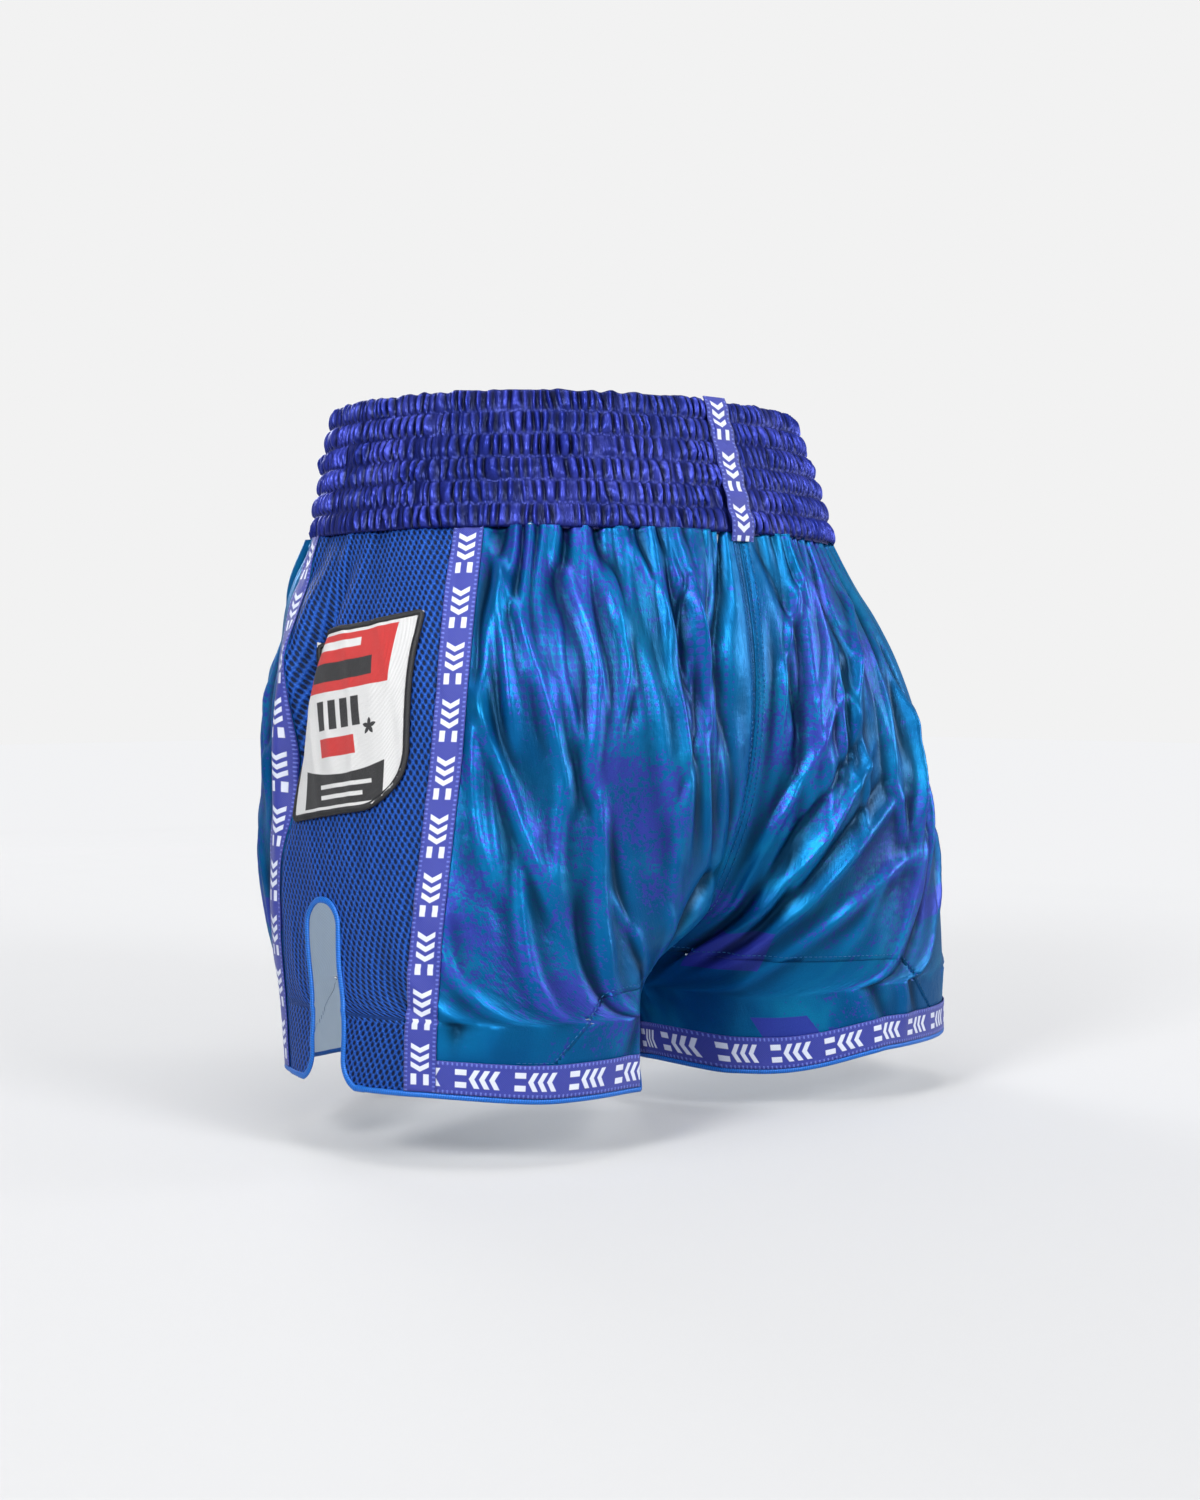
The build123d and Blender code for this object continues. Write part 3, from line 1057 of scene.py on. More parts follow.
@dataclass(frozen=True)
class PrintedSatin(Finish):
    """Satin with a sublimated print: dot fields, worn speckle and angular patches."""

    ink: Colour = (0.045, 0.052, 0.44)
    light: Colour = (0.003, 0.210, 0.44)
    deep: Colour = (0.001, 0.100, 0.30)

    def zone(self, g: Graph, u: Socket, v: Socket,
             places: Sequence[tuple[float, float, float, float]]) -> Socket:
        """The strongest of several soft ovals, given as middle u, middle v, reach u and reach v.

        Args:
            g: The graph to draw in.
            u: The first surface coordinate.
            v: The second surface coordinate.
            places: The ovals.

        Returns:
            The zone's strength.
        """
        total = None
        for place in places:
            names = ("Middle U", "Middle V", "Reach U", "Reach V")
            blob = g.group("Blob", U=u, V=v, **dict(zip(names, place)))
            total = blob if total is None else g.math("MAXIMUM", total, blob)
        return total

    def draw(self, g: Graph, shader: bpy.types.Node) -> None:
        """Base cloth, then dots, speckle and patches over it, then painted shade in the fold valleys with a fine
        grain.

        Args:
            g: The graph to draw in.
            shader: The material's shader.
        """
        vector, u, v = g.uv()
        tone = g.noise(vector, 14.0, 3.0, 0.55)
        base = g.mix(g.step(0.38, 0.62, tone), self.deep, self.colour)
        base = g.mix(g.step(0.50, 0.72, g.noise(vector, 19.0, 3.0, 0.6, 3.1)), base, self.light)
        broad = g.noise(vector, 12.0, 3.0, 0.6, 9.7)
        dotted = g.math("MULTIPLY_ADD", self.zone(g, u, v, DOT_ZONES), 1.25,
                        g.math("MULTIPLY_ADD", g.noise(vector, 16.0, 1.0, 0.4, 5.3), 1.6, -0.95), clamp=True)
        radius = g.math("MULTIPLY", g.step(0.02, 0.95, dotted), 0.43)
        grid_u = g.math("MULTIPLY", g.math("ADD", u, v), 0.5)
        grid_v = g.math("MULTIPLY", g.math("SUBTRACT", u, v), 0.5)
        dots = g.group("Dots", U=grid_u, V=grid_v, Pitch=0.0036, Radius=radius)
        grain = g.noise(vector, 420.0, 4.0, 0.72, 1.7)
        dense = g.math("MULTIPLY_ADD", self.zone(g, u, v, SPECKLE_ZONES), 0.155, broad)
        dense = g.math("MULTIPLY_ADD", g.math("SUBTRACT", g.noise(vector, 70.0, 2.0, 0.6, 4.4), 0.5),
                       0.42, dense)
        speckle = g.step(0.640, 0.665, g.math("MULTIPLY_ADD", g.math("SUBTRACT", grain, 0.5), 1.25, dense))
        ink = g.math("MAXIMUM", g.math("MULTIPLY", dots, 0.72), g.math("MULTIPLY", speckle, 0.90))
        for low_u, high_u, low_v, high_v, lean in PRINT_BARS:
            risen = g.math("MULTIPLY_ADD", u, -lean, v)
            bar = g.math("MULTIPLY", g.inside(g.math("MULTIPLY_ADD", risen, 0.5, u), low_u, high_u),
                         g.inside(risen, low_v, high_v))
            ink = g.math("MAXIMUM", ink, g.math("MULTIPLY", bar, 0.92))
        fine = g.noise(vector, 1900.0, 2.0, 0.6, 0.7)
        shade = g.mix(ink, base, self.ink)
        # Painted shade: the fold valleys darken the print towards near black, and a fine grain of the cloth varies
        # it a little.
        shade = g.with_painted_shade(shade, g.math("MULTIPLY", g.relief(0.16), g.math("MULTIPLY_ADD", fine, 0.70, 0.80)))
        g.put(shade, shader.inputs["Base Color"])
        crumple = g.noise(vector, 130.0, 2.0, 0.5, 2.0)
        float_yarn = g.add("ShaderNodeCombineXYZ")
        g.put(u, float_yarn.inputs[0])
        g.put(g.math("MULTIPLY", v, 0.16), float_yarn.inputs[1])
        streak = g.noise(float_yarn.outputs[0], 900.0, 3.0, 0.65)
        height = g.math("MULTIPLY_ADD", streak, 0.42, g.math("MULTIPLY_ADD", fine, 0.16, crumple))
        g.put(g.bump(height, 0.0006, 0.6), shader.inputs["Normal"])
        g.put(g.math("MULTIPLY_ADD", streak, 0.22, 0.27), shader.inputs["Roughness"])


@dataclass(frozen=True)
class MeshKnit(Finish):
    """A spacer knit: staggered oval holes in the face, painted near black as shade, with painted shade round their
    rims and in the fold valleys.
    """

    pitch: float = 0.0034
    stretch: float = 0.68
    hole: float = 0.32
    # Painted shade: the near-black colour seen in the holes.
    back: Colour = (0.0005, 0.002, 0.030)
    crest: Colour = (0.040, 0.190, 0.80)

    def draw(self, g: Graph, shader: bpy.types.Node) -> None:
        """Holes painted near black as shade, a painted shade ring round each hole, painted shade in the fold
        valleys, and rounded threads between them.

        Args:
            g: The graph to draw in.
            shader: The material's shader.
        """
        vector, u, v = g.uv()
        wander = g.math("MULTIPLY_ADD", g.noise(vector, 60.0, 1.0, 0.4), 0.0012, u)
        tall = g.math("MULTIPLY", v, self.stretch)
        hole = g.group("Dots", U=wander, V=tall, Pitch=self.pitch, Radius=self.hole)
        rim = g.group("Dots", U=wander, V=tall, Pitch=self.pitch, Radius=self.hole + 0.14)
        weave = g.group("Weave", U=u, V=v, Threads=self.threads)
        twist = g.noise(vector, 1500.0, 2.0, 0.6)
        shade = g.mix(g.step(0.45, 0.68, twist), self.colour, self.crest)
        # Painted shade: a darker ring round each hole, then the holes filled with the near-black back colour.
        shade = g.mix(g.math("MULTIPLY", rim, 0.55), shade, tuple(c * 0.5 for c in self.colour))
        shade = g.mix(hole, shade, self.back)
        # Painted shade in the fold valleys.
        g.put(g.with_painted_shade(shade, g.relief(0.55)), shader.inputs["Base Color"])
        height = g.math("ADD",
                        g.math("SUBTRACT", 1.0, g.math("MULTIPLY_ADD", rim, 0.45, g.math("MULTIPLY", hole, 0.55))),
                        g.math("MULTIPLY", weave, 0.2))
        g.put(g.bump(height, 0.0009), shader.inputs["Normal"])


@dataclass(frozen=True)
class WovenTape(Finish):
    """A woven tape with a repeating white motif of chevrons and bars, and ladder stitches on both edges.

    The tape's U runs along it and its V across it, from the middle.
    """

    motif: Colour = (0.72, 0.76, 0.88)
    period: float = 0.0260
    half: float = 0.0075

    def draw(self, g: Graph, shader: bpy.types.Node) -> None:
        """Ground, motif and stitches.

        Args:
            g: The graph to draw in.
            shader: The material's shader.
        """
        _, u, v = g.uv()
        along = g.math("MULTIPLY", g.math("FRACT", g.math("DIVIDE", u, self.period)), self.period)
        off = g.math("ABSOLUTE", v)
        slant = g.math("MULTIPLY_ADD", off, 0.55, along)
        band = g.inside(off, -1.0, 0.0042)
        shapes = None
        for low, high in ((0.0050, 0.0074), (0.0094, 0.0118), (0.0138, 0.0162)):
            bar = g.math("MULTIPLY", g.inside(slant, low, high), band)
            shapes = bar if shapes is None else g.math("MAXIMUM", shapes, bar)
        block = g.math("MULTIPLY", g.inside(along, 0.0172, 0.0222), g.inside(off, 0.0016, 0.0042))
        shapes = g.math("MAXIMUM", shapes, block)
        weave = g.group("Weave", U=u, V=v, Threads=self.threads)
        shade = g.mix(g.math("MULTIPLY", weave, 0.35), self.colour, tuple(c * 0.45 for c in self.colour))
        shade = g.mix(shapes, shade, self.motif)
        rung = g.math("MULTIPLY", g.inside(g.math("FRACT", g.math("DIVIDE", u, 0.0021)), 0.0, 0.38, 0.05),
                      g.inside(off, self.half - 0.0017, self.half - 0.0003))
        shade = g.mix(g.math("MULTIPLY", rung, 0.75), shade, (0.16, 0.22, 0.72))
        g.put(shade, shader.inputs["Base Color"])
        height = g.math("ADD", g.math("MULTIPLY", weave, 0.35),
                        g.math("MULTIPLY", g.math("MAXIMUM", rung, shapes), 0.5))
        g.put(g.bump(height, 0.0003), shader.inputs["Normal"])


@dataclass(frozen=True)
class BadgeCloth(Finish):
    """The embroidered badge: a red top, a white middle and a black foot, with plain bars and a star.

    U runs across the badge and V up it, from its middle.
    """

    def draw(self, g: Graph, shader: bpy.types.Node) -> None:
        """Fields, then bars and star, over embroidery threads.

        Args:
            g: The graph to draw in.
            shader: The material's shader.
        """
        red, white, black = (0.62, 0.022, 0.020), (0.78, 0.78, 0.77), (0.012, 0.012, 0.014)
        vector, u, v = g.uv()
        shade = g.mix(g.step(0.0135, 0.0138, v), white, red)
        curve = g.math("MULTIPLY_ADD", g.math("MULTIPLY", u, u), 5.0, -0.0262)
        low = g.math("SUBTRACT", 1.0, g.step(-0.0002, 0.0002, g.math("SUBTRACT", v, curve)))
        shade = g.mix(low, shade, black)

        def bar(x0: float, x1: float, y0: float, y1: float, lean: float) -> Socket:
            """1 inside a bar that leans to one side."""
            shifted = g.math("MULTIPLY_ADD", v, lean, u)
            return g.math("MULTIPLY", g.inside(shifted, x0, x1), g.inside(v, y0, y1))

        for x0, x1, y0, y1, tone in (
            (-0.021, 0.012, 0.0335, 0.0375, white), (-0.021, 0.020, 0.0185, 0.0275, black),
            (-0.018, -0.013, -0.0045, 0.0095, black), (-0.010, -0.005, -0.0045, 0.0095, black),
            (-0.002, 0.003, -0.0045, 0.0095, black), (0.006, 0.011, -0.0045, 0.0095, black),
            (-0.018, 0.006, -0.0175, -0.0085, red),
            (-0.020, 0.014, -0.0325, -0.0305, white), (-0.020, 0.008, -0.0375, -0.0355, white),
        ):
            shade = g.mix(bar(x0, x1, y0, y1, 0.18), shade, tone)
        su, sv = g.math("SUBTRACT", u, 0.0175), g.math("ADD", v, 0.0060)
        turn = g.math("ARCTAN2", su, sv)
        far = g.math("SQRT", g.math("ADD", g.math("MULTIPLY", su, su), g.math("MULTIPLY", sv, sv)))
        reach = g.math("MULTIPLY_ADD", g.math("PINGPONG", g.math("DIVIDE", turn, 2 * math.pi / 5), 0.5),
                       -0.0052, 0.0042)
        star = g.math("SUBTRACT", 1.0, g.step(-0.0001, 0.0001, g.math("SUBTRACT", far, reach)))
        shade = g.mix(star, shade, black)
        rim = g.math("MAXIMUM", g.math("SUBTRACT", g.math("ABSOLUTE", u), 0.0268),
                     g.math("SUBTRACT", g.math("ABSOLUTE", v), 0.0408))
        shade = g.mix(g.step(-0.0001, 0.0001, rim), shade, white)
        thread = g.math("MULTIPLY_ADD",
                        g.math("SINE", g.math("MULTIPLY", g.math("MULTIPLY_ADD", v, 0.35, u), 9000.0)),
                        0.5, 0.5)
        rough = g.noise(vector, 2200.0, 2.0, 0.6)
        shade = g.mix(g.math("MULTIPLY", g.math("MULTIPLY", thread, rough), 0.4), shade, (0.0, 0.0, 0.0))
        g.put(shade, shader.inputs["Base Color"])
        g.put(g.bump(g.math("ADD", thread, rough), 0.00018), shader.inputs["Normal"])


@dataclass(frozen=True)
class ThreadWrap(Finish):
    """Close threads wound across an edge."""

    def draw(self, g: Graph, shader: bpy.types.Node) -> None:
        """Slanted windings along U.

        Args:
            g: The graph to draw in.
            shader: The material's shader.
        """
        _, u, v = g.uv()
        wind = g.math("MULTIPLY_ADD",
                      g.math("SINE", g.math("MULTIPLY", g.math("MULTIPLY_ADD", v, 0.25, u), self.threads)),
                      0.5, 0.5)
        g.put(g.mix(g.math("MULTIPLY", wind, 0.5), self.colour, tuple(c * 0.35 for c in self.colour)),
              shader.inputs["Base Color"])
        g.put(g.bump(wind, self.weave_depth), shader.inputs["Normal"])


@dataclass(frozen=True)
class BandSatin(Finish):
    """The waistband's satin, with fine crush lines across the rows and painted shade in its pleat valleys."""

    light: Colour = (0.045, 0.060, 0.44)

    def draw(self, g: Graph, shader: bpy.types.Node) -> None:
        """Two close tones, painted shade in the pleat valleys and a fine crush.

        Args:
            g: The graph to draw in.
            shader: The material's shader.
        """
        vector, u, v = g.uv()
        tone = g.noise(vector, 26.0, 3.0, 0.6)
        fine = g.noise(vector, 1900.0, 2.0, 0.6, 0.7)
        shade = g.mix(g.step(0.4, 0.65, tone), self.colour, self.light)
        # Painted shade: the pleat valleys darken the band nearly to black, and a fine grain of the cloth varies it
        # a little.
        shade = g.with_painted_shade(shade, g.math("MULTIPLY", g.relief(0.04), g.math("MULTIPLY_ADD", fine, 0.5, 0.75)))
        g.put(shade, shader.inputs["Base Color"])
        stretch = g.add("ShaderNodeCombineXYZ")
        g.put(u, stretch.inputs[0])
        g.put(g.math("MULTIPLY", v, 0.22), stretch.inputs[1])
        crush = g.noise(stretch.outputs[0], 750.0, 2.0, 0.55)
        g.put(g.bump(crush, 0.0009, 0.6), shader.inputs["Normal"])


SATIN = PrintedSatin("Printed satin", (0.001, 0.155, 0.39), "satin", roughness=0.36, metallic=0.5,
                     gloss_tint=(0.25, 0.65, 1.0))
# Painted light: the reverse glows faintly, standing for light that comes through the thin cloth.
SATIN_BACK = Finish("Satin reverse", (0.62, 0.72, 0.80), "satin", roughness=0.7, sheen=0.2, glow=0.16)
MESH = MeshKnit("Mesh knit", (0.012, 0.085, 0.50), "mesh", roughness=0.55, threads=5200.0,
                gloss_tint=(0.35, 0.60, 1.0))
TAPE = WovenTape("Woven tape", (0.030, 0.045, 0.36), "woven_tape", roughness=0.55, sheen=0.15, threads=6200.0)
BINDING = ThreadWrap("Binding satin", (0.010, 0.170, 0.68), "binding_tape", roughness=0.38, metallic=0.2,
                     threads=5600.0, weave_depth=0.00008)
BAND = BandSatin("Band satin", (0.018, 0.032, 0.30), "band_satin", roughness=0.36, metallic=0.4,
                 gloss_tint=(0.45, 0.55, 1.0))
LINING = Finish("Lining cloth", (0.05, 0.06, 0.32), "lining_cloth", roughness=0.7, sheen=0.2)
ELASTIC = Finish("Elastic", (0.60, 0.60, 0.57), "elastic", roughness=0.7)
EYELET = Finish("Eyelet metal", (0.50, 0.46, 0.38), "eyelet_metal", roughness=0.25, metallic=1.0,
                weave_depth=0.0)
BADGE = BadgeCloth("Badge embroidery", (0.7, 0.7, 0.7), "badge_twill", roughness=0.6, sheen=0.1)
MERROW = ThreadWrap("Badge edge thread", (0.014, 0.014, 0.016), "badge_thread", roughness=0.45,
                     threads=9000.0, weave_depth=0.00012)
THREAD = Finish("Sewing thread", (0.008, 0.13, 0.36), "satin", roughness=0.5)
LABEL = Finish("Label satin", (0.75, 0.76, 0.78), "label_satin", roughness=0.45, threads=8000.0)


# ---------------------------------------------------------------- assemblies


@dataclass
class Garment:
    """What the sub-assemblies share: the band form and both legs."""

    band_form: Form
    legs: dict[Side, Leg]

    def finish_piece(self, piece: bpy.types.Object, finish: Finish, replaces: Sequence[str] = (),
                     reverse: Optional[Finish] = None) -> bpy.types.Object:
        """Gives a piece its material and body, and hides the CAD nodes it stands for.

        Args:
            piece: The object.
            finish: The finish.
            replaces: The CAD nodes it stands for.
            reverse: The finish of the inner face.

        Returns:
            The same object.
        """
        piece.data.materials.append(finish.material())
        if reverse is not None:
            piece.data.materials.append(reverse.material())
        if replaces:
            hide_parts(*replaces)
        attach(piece, BODY)
        return piece


LEAST_AREA = 0.31


def sheet_size(points: np.ndarray, keep: Optional[np.ndarray] = None) -> tuple[tuple[float, float], float]:
    """The flat size of a sheet before it was gathered and bent.

    Args:
        points: The sheet's grid.
        keep: Which grid points are kept.

    Returns:
        Width and length of the cut's rectangle, and the cut's own area.
    """
    across = np.linalg.norm(np.diff(points, axis=1), axis=-1)
    down = np.linalg.norm(np.diff(points, axis=0), axis=-1)
    cells = across[:-1] * down[:, :-1]
    if keep is not None:
        cells = cells * keep[:-1, :-1]
    width, length = round(float(across.sum(axis=1).max()), 4), round(float(down.sum(axis=0).max()), 4)
    return (width, length), float(np.clip(cells.sum(), LEAST_AREA * width * length, width * length))


GUSSET_TOP = 0.052
GUSSET_KNEE = (0.104, 0.046)
GUSSET_FOOT = (0.150, 0.0)


def gusset_distance(leg: Leg) -> Callable[[np.ndarray, np.ndarray], np.ndarray]:
    """Signed distance above the gusset's seam, at each (q, z).

    Args:
        leg: The leg.

    Returns:
        The distance, as a function of q and z.
    """
    knee, foot, top = GUSSET_KNEE, GUSSET_FOOT, GUSSET_TOP

    def at(q: np.ndarray, z: np.ndarray) -> np.ndarray:
        """Distance above the upper line, and outside the slanting one."""
        x = leg.base(q, z)[..., 0]
        upper = (z - (top + (knee[1] - top) * x / knee[0])) * 0.998
        dx, dz = foot[0] - knee[0], foot[1] - knee[1]
        lower = -((x - knee[0]) * dz - (z - knee[1]) * dx) / math.hypot(dx, dz)
        return np.maximum(upper, lower)

    return at


@dataclass(frozen=True)
class Slit:
    """The side slit: an arched notch whose lower corners flare out into the hem."""

    half: float = 0.012
    top: float = 0.088
    flare: float = 0.014
    foot_y: float = 0.035
    swing: float = 0.009

    def middle(self, z: np.ndarray) -> np.ndarray:
        """The y of the slit's middle, which swings forwards towards its top."""
        return self.foot_y - self.swing * smooth(0.020, 0.090, z)

    def outline(self) -> np.ndarray:
        """Half widths and heights along the slit's edge, from one hem to the other."""
        half, top, flare = self.half, self.top, self.flare
        arch = np.linspace(0, math.pi, 25)[::-1]
        drop = np.linspace(top - half, flare, 30)[1:]
        turn = np.linspace(0, math.pi / 2, 12)[1:]
        over = np.stack([half * np.cos(arch), (top - half) + half * np.sin(arch)], axis=1)
        down = np.stack([np.full(len(drop), half), drop], axis=1)
        out = np.stack([half + flare - flare * np.cos(turn), flare - flare * np.sin(turn)], axis=1)
        right = np.concatenate([down, out])
        left = right[::-1] * np.array([-1.0, 1.0])
        return np.concatenate([left, over[1:-1], right])


SLIT = Slit()


def slit_distance(leg: Leg, grow: float = 0.0) -> Callable[[np.ndarray, np.ndarray], np.ndarray]:
    """Signed distance outside the slit's notch, at each (q, z).

    Args:
        leg: The leg.
        grow: How much larger than the slit the notch is.

    Returns:
        The distance, as a function of q and z.
    """
    half, top, flare = SLIT.half + grow, SLIT.top + grow, SLIT.flare - grow

    def at(q: np.ndarray, z: np.ndarray) -> np.ndarray:
        """Distance outside the arch, or outside the flared corners below it."""
        y = leg.base(q, z)[..., 1] - SLIT.middle(z)
        arch = np.hypot(y, np.maximum(z - (top - half), 0.0)) - half
        corner = flare - np.hypot(np.minimum(np.abs(y) - half - flare, 0.0), np.minimum(z - flare, 0.0))
        return np.where((z < flare) & (np.abs(y) < half + flare), np.minimum(arch, corner), arch)

    return at


@dataclass
class LegCover:
    """The cloth, tapes, bindings and seams of one leg."""

    garment: Garment
    side: Side
    thread_lift: float = 0.0004
    tape_rows: int = 13

    def __post_init__(self) -> None:
        """Finds the leg and the mesh panel's edges."""
        self.leg = self.garment.legs[self.side]
        self.word = self.side.name.lower()
        form = self.leg.form
        self.back_edge = lambda z: form.share_at_y(MESH_BACK_EDGE(z), z)
        self.front_edge = lambda z: form.share_at_y(MESH_FRONT_EDGE(z), z)

    def places(self, start: Callable, end: Callable, low: float, high: float,
               step: float = CLOTH_STEP) -> tuple[np.ndarray, np.ndarray]:
        """An even grid of (q, z) between two edges.

        Args:
            start: The first edge, as q over height.
            end: The last edge, as q over height.
            low: The lowest height.
            high: The greatest height.
            step: Distance from place to place.

        Returns:
            The grid's q and z.
        """
        z = np.linspace(low, high, int(round((high - low) / step)) + 1)
        a, b = start(z), end(z)
        length = self.leg.form.length(z)
        cols = int(np.ceil(((b - a) * length).max() / step)) + 1
        q = a[:, None] + (b - a)[:, None] * np.linspace(0, 1, cols)[None, :]
        return q, np.broadcast_to(z[:, None], q.shape).copy()

    def cloth(self, label: str, node: str, q: np.ndarray, z: np.ndarray, finish: Finish,
              cut: Optional[Callable] = None, lift: float = 0.0, thickness: float = 0.0004,
              reverse: Optional[Finish] = None, uv: Optional[np.ndarray] = None) -> None:
        """One sheet of the leg's cloth.

        Args:
            label: The piece's name, without its side.
            node: The CAD node's name, without its side.
            q: Shares of the way round.
            z: Heights.
            finish: The finish.
            cut: Signed distance to a cut.
            lift: Extra distance off the form.
            thickness: The sheet's thickness.
            reverse: The finish of the inner face.
            uv: The UV map, or None for the leg's own.
        """
        length = self.leg.form.length(z)
        keep = None
        if cut is not None:
            q, z, keep = snap_to_line(cut, q, z, length)
        points = self.leg.points(q, z, lift)
        if uv is None:
            uv = np.stack([q * length + UV_SHIFT[self.side], z], axis=-1)
        # Painted shade: the fold valleys darken this sheet's base colour.
        relief = valley_shade_of(self.leg.folds.lift(q, z), 6, -0.0017, 0.0012)
        piece = Patch(f"{label}_{self.word}", points, uv, keep, flip=self.side is Side.LEFT,
                      relief=relief).build()
        thicken(piece, thickness, 1 if reverse else 0)
        self.garment.finish_piece(piece, finish, [f"{node}_{self.word}"] if node else [], reverse)

    def satin(self) -> None:
        """The front and back satin panels, without the gusset's zone."""
        zero, one = (lambda z: 0.0 * z), (lambda z: 0.0 * z + 1.0)
        gusset = gusset_distance(self.leg)
        for label, node, start, end in (
            ("Back_panel", "back_panel", zero, self.back_edge),
            ("Front_panel", "front_panel", self.front_edge, one),
        ):
            q, z = self.places(start, end, PANEL_FOOT_Z, PANEL_HEAD_Z)
            self.cloth(label, node, q, z, SATIN, cut=gusset, reverse=SATIN_BACK)

    def mesh_panel(self) -> None:
        """The mesh side panel, cut out around the slit."""
        q, z = self.places(self.back_edge, self.front_edge, PANEL_FOOT_Z, PANEL_HEAD_Z)
        self.cloth("Mesh_panel", "mesh_panel", q, z, MESH, cut=slit_distance(self.leg, 0.0005),
                   thickness=0.0006)

    def side_tapes(self) -> None:
        """The woven tapes beside the mesh panel."""
        form = self.leg.form
        rows = np.linspace(-TAPE_WIDTH / 2, TAPE_WIDTH / 2, self.tape_rows)
        for label, node, edge, sign in (
            ("Back_side_tape", "side_tape_back", self.back_edge, -1.0),
            ("Front_side_tape", "side_tape_front", self.front_edge, 1.0),
        ):
            z = np.linspace(TAPE_FOOT_Z, PANEL_HEAD_Z, 190)
            middle = edge(z) * form.length(z) + sign * TAPE_WIDTH / 2
            q = (middle[:, None] + rows[None, :]) / form.length(z)[:, None]
            zz = np.broadcast_to(z[:, None], q.shape)
            uv = np.stack(np.broadcast_arrays((SEAM_Z - z)[:, None], rows[None, :] * self.side.value),
                          axis=-1)
            self.cloth(label, node, q, zz, TAPE, lift=0.0009, uv=uv)

    def hem_tape(self) -> None:
        """The woven tape along the hem, from the mesh panel's front edge round to its back edge."""
        rows = np.linspace(-TAPE_WIDTH / 2, TAPE_WIDTH / 2, self.tape_rows)
        z = TAPE_FOOT_Z + rows - rows[0]
        level = np.array([0.01])
        around = self.leg.form.length(level[0])
        start = float(self.front_edge(level)[0] + TAPE_WIDTH / around) - 1.0
        end = float(self.back_edge(level)[0] - TAPE_WIDTH / around)
        q, zz = np.meshgrid(np.linspace(start, end, int((end - start) * around / TAPE_STEP)), z)
        uv = np.stack([q * around * self.side.value, zz - TAPE_FOOT_Z - TAPE_WIDTH / 2], axis=-1)
        self.cloth("Hem_tape", "hem_tape", q % 1.0, zz, TAPE, lift=0.0010, uv=uv)

    def binding(self, label: str, node: str, q: np.ndarray, z: np.ndarray, width: float,
                height: float) -> None:
        """A bound edge, as a flattened tube.

        Args:
            label: The piece's name, without its side.
            node: The CAD node's name, without its side.
            q: Shares of the way round.
            z: Heights.
            width: Half the width.
            height: The height.
        """
        path = self.leg.points(q, z, 0.0001)
        edge = tube(f"{label}_{self.word}", path, self.leg.outward(q, z), width, height)
        self.garment.finish_piece(edge, BINDING, [f"{node}_{self.word}"])

    def bindings(self) -> None:
        """The bound slit and hem."""
        form = self.leg.form
        line = SLIT.outline()
        y, z = line[:, 0] + SLIT.middle(line[:, 1]), np.maximum(line[:, 1], BINDING_Z)
        self.binding("Slit_binding", "slit_binding", form.share_at_y(y, z), z, 0.0015, 0.0009)
        start = float(form.share_at_y(SLIT.foot_y - SLIT.half - SLIT.flare, 0.0))
        end = float(form.share_at_y(SLIT.foot_y + SLIT.half + SLIT.flare, 0.0))
        q = np.linspace(start - 1.0, end, 420) % 1.0
        self.binding("Hem_binding", "hem_binding", q, np.full_like(q, BINDING_Z), 0.0013, 0.0010)

    def seams(self) -> None:
        """The raised stitches beside the centre back and front and along the gusset."""
        form, leg = self.leg.form, self.leg
        rows, (knee_x, knee_z), foot_x = [], GUSSET_KNEE, GUSSET_FOOT[0]
        z = np.linspace(0.062, SEAM_Z - 0.001, 160)
        for near in (0.0022, 0.0052):
            for front in (False, True):
                q = near / form.length(z)
                q = 1.0 - q if front else q
                rows.append((leg.points(q, z, self.thread_lift), leg.outward(q, z)))
        for front in (False, True):
            x = np.linspace(0.004, foot_x, 120)
            height = np.where(x < knee_x, GUSSET_TOP - (GUSSET_TOP - knee_z) * x / knee_x,
                              knee_z * (foot_x - x) / (foot_x - knee_x))
            height = np.maximum(height + 0.0025, 0.0185)
            q = self.share_at_x(x, height, front)
            rows.append((leg.points(q, height, self.thread_lift), leg.outward(q, height)))
        threads = stitches(f"Seam_stitches_{self.word}", rows, radius=0.00020)
        self.garment.finish_piece(threads, THREAD)

    def share_at_x(self, x: np.ndarray, z: np.ndarray, front: bool) -> np.ndarray:
        """The share of the way round at which the back or front wall has that x.

        Args:
            x: The x of each place.
            z: Heights.
            front: Whether the front wall is meant.

        Returns:
            The shares.
        """
        cx, rx, _, _, n = self.leg.form.values(z)
        c = np.clip((x - cx) / rx, -1, 1)
        t = np.arccos(np.sign(c) * np.abs(c) ** (n / 2))
        grid = np.linspace(0, 1, 401)
        out = np.empty_like(t)
        for k, (want, height) in enumerate(zip(-t if front else t, z)):
            angles = self.leg.form.angle(grid, np.full_like(grid, height))
            out[k] = np.interp(-want, -angles, grid)
        return out

    def build(self) -> None:
        """Makes every piece of the leg."""
        self.satin()
        self.mesh_panel()
        self.side_tapes()
        self.hem_tape()
        self.bindings()
        self.seams()


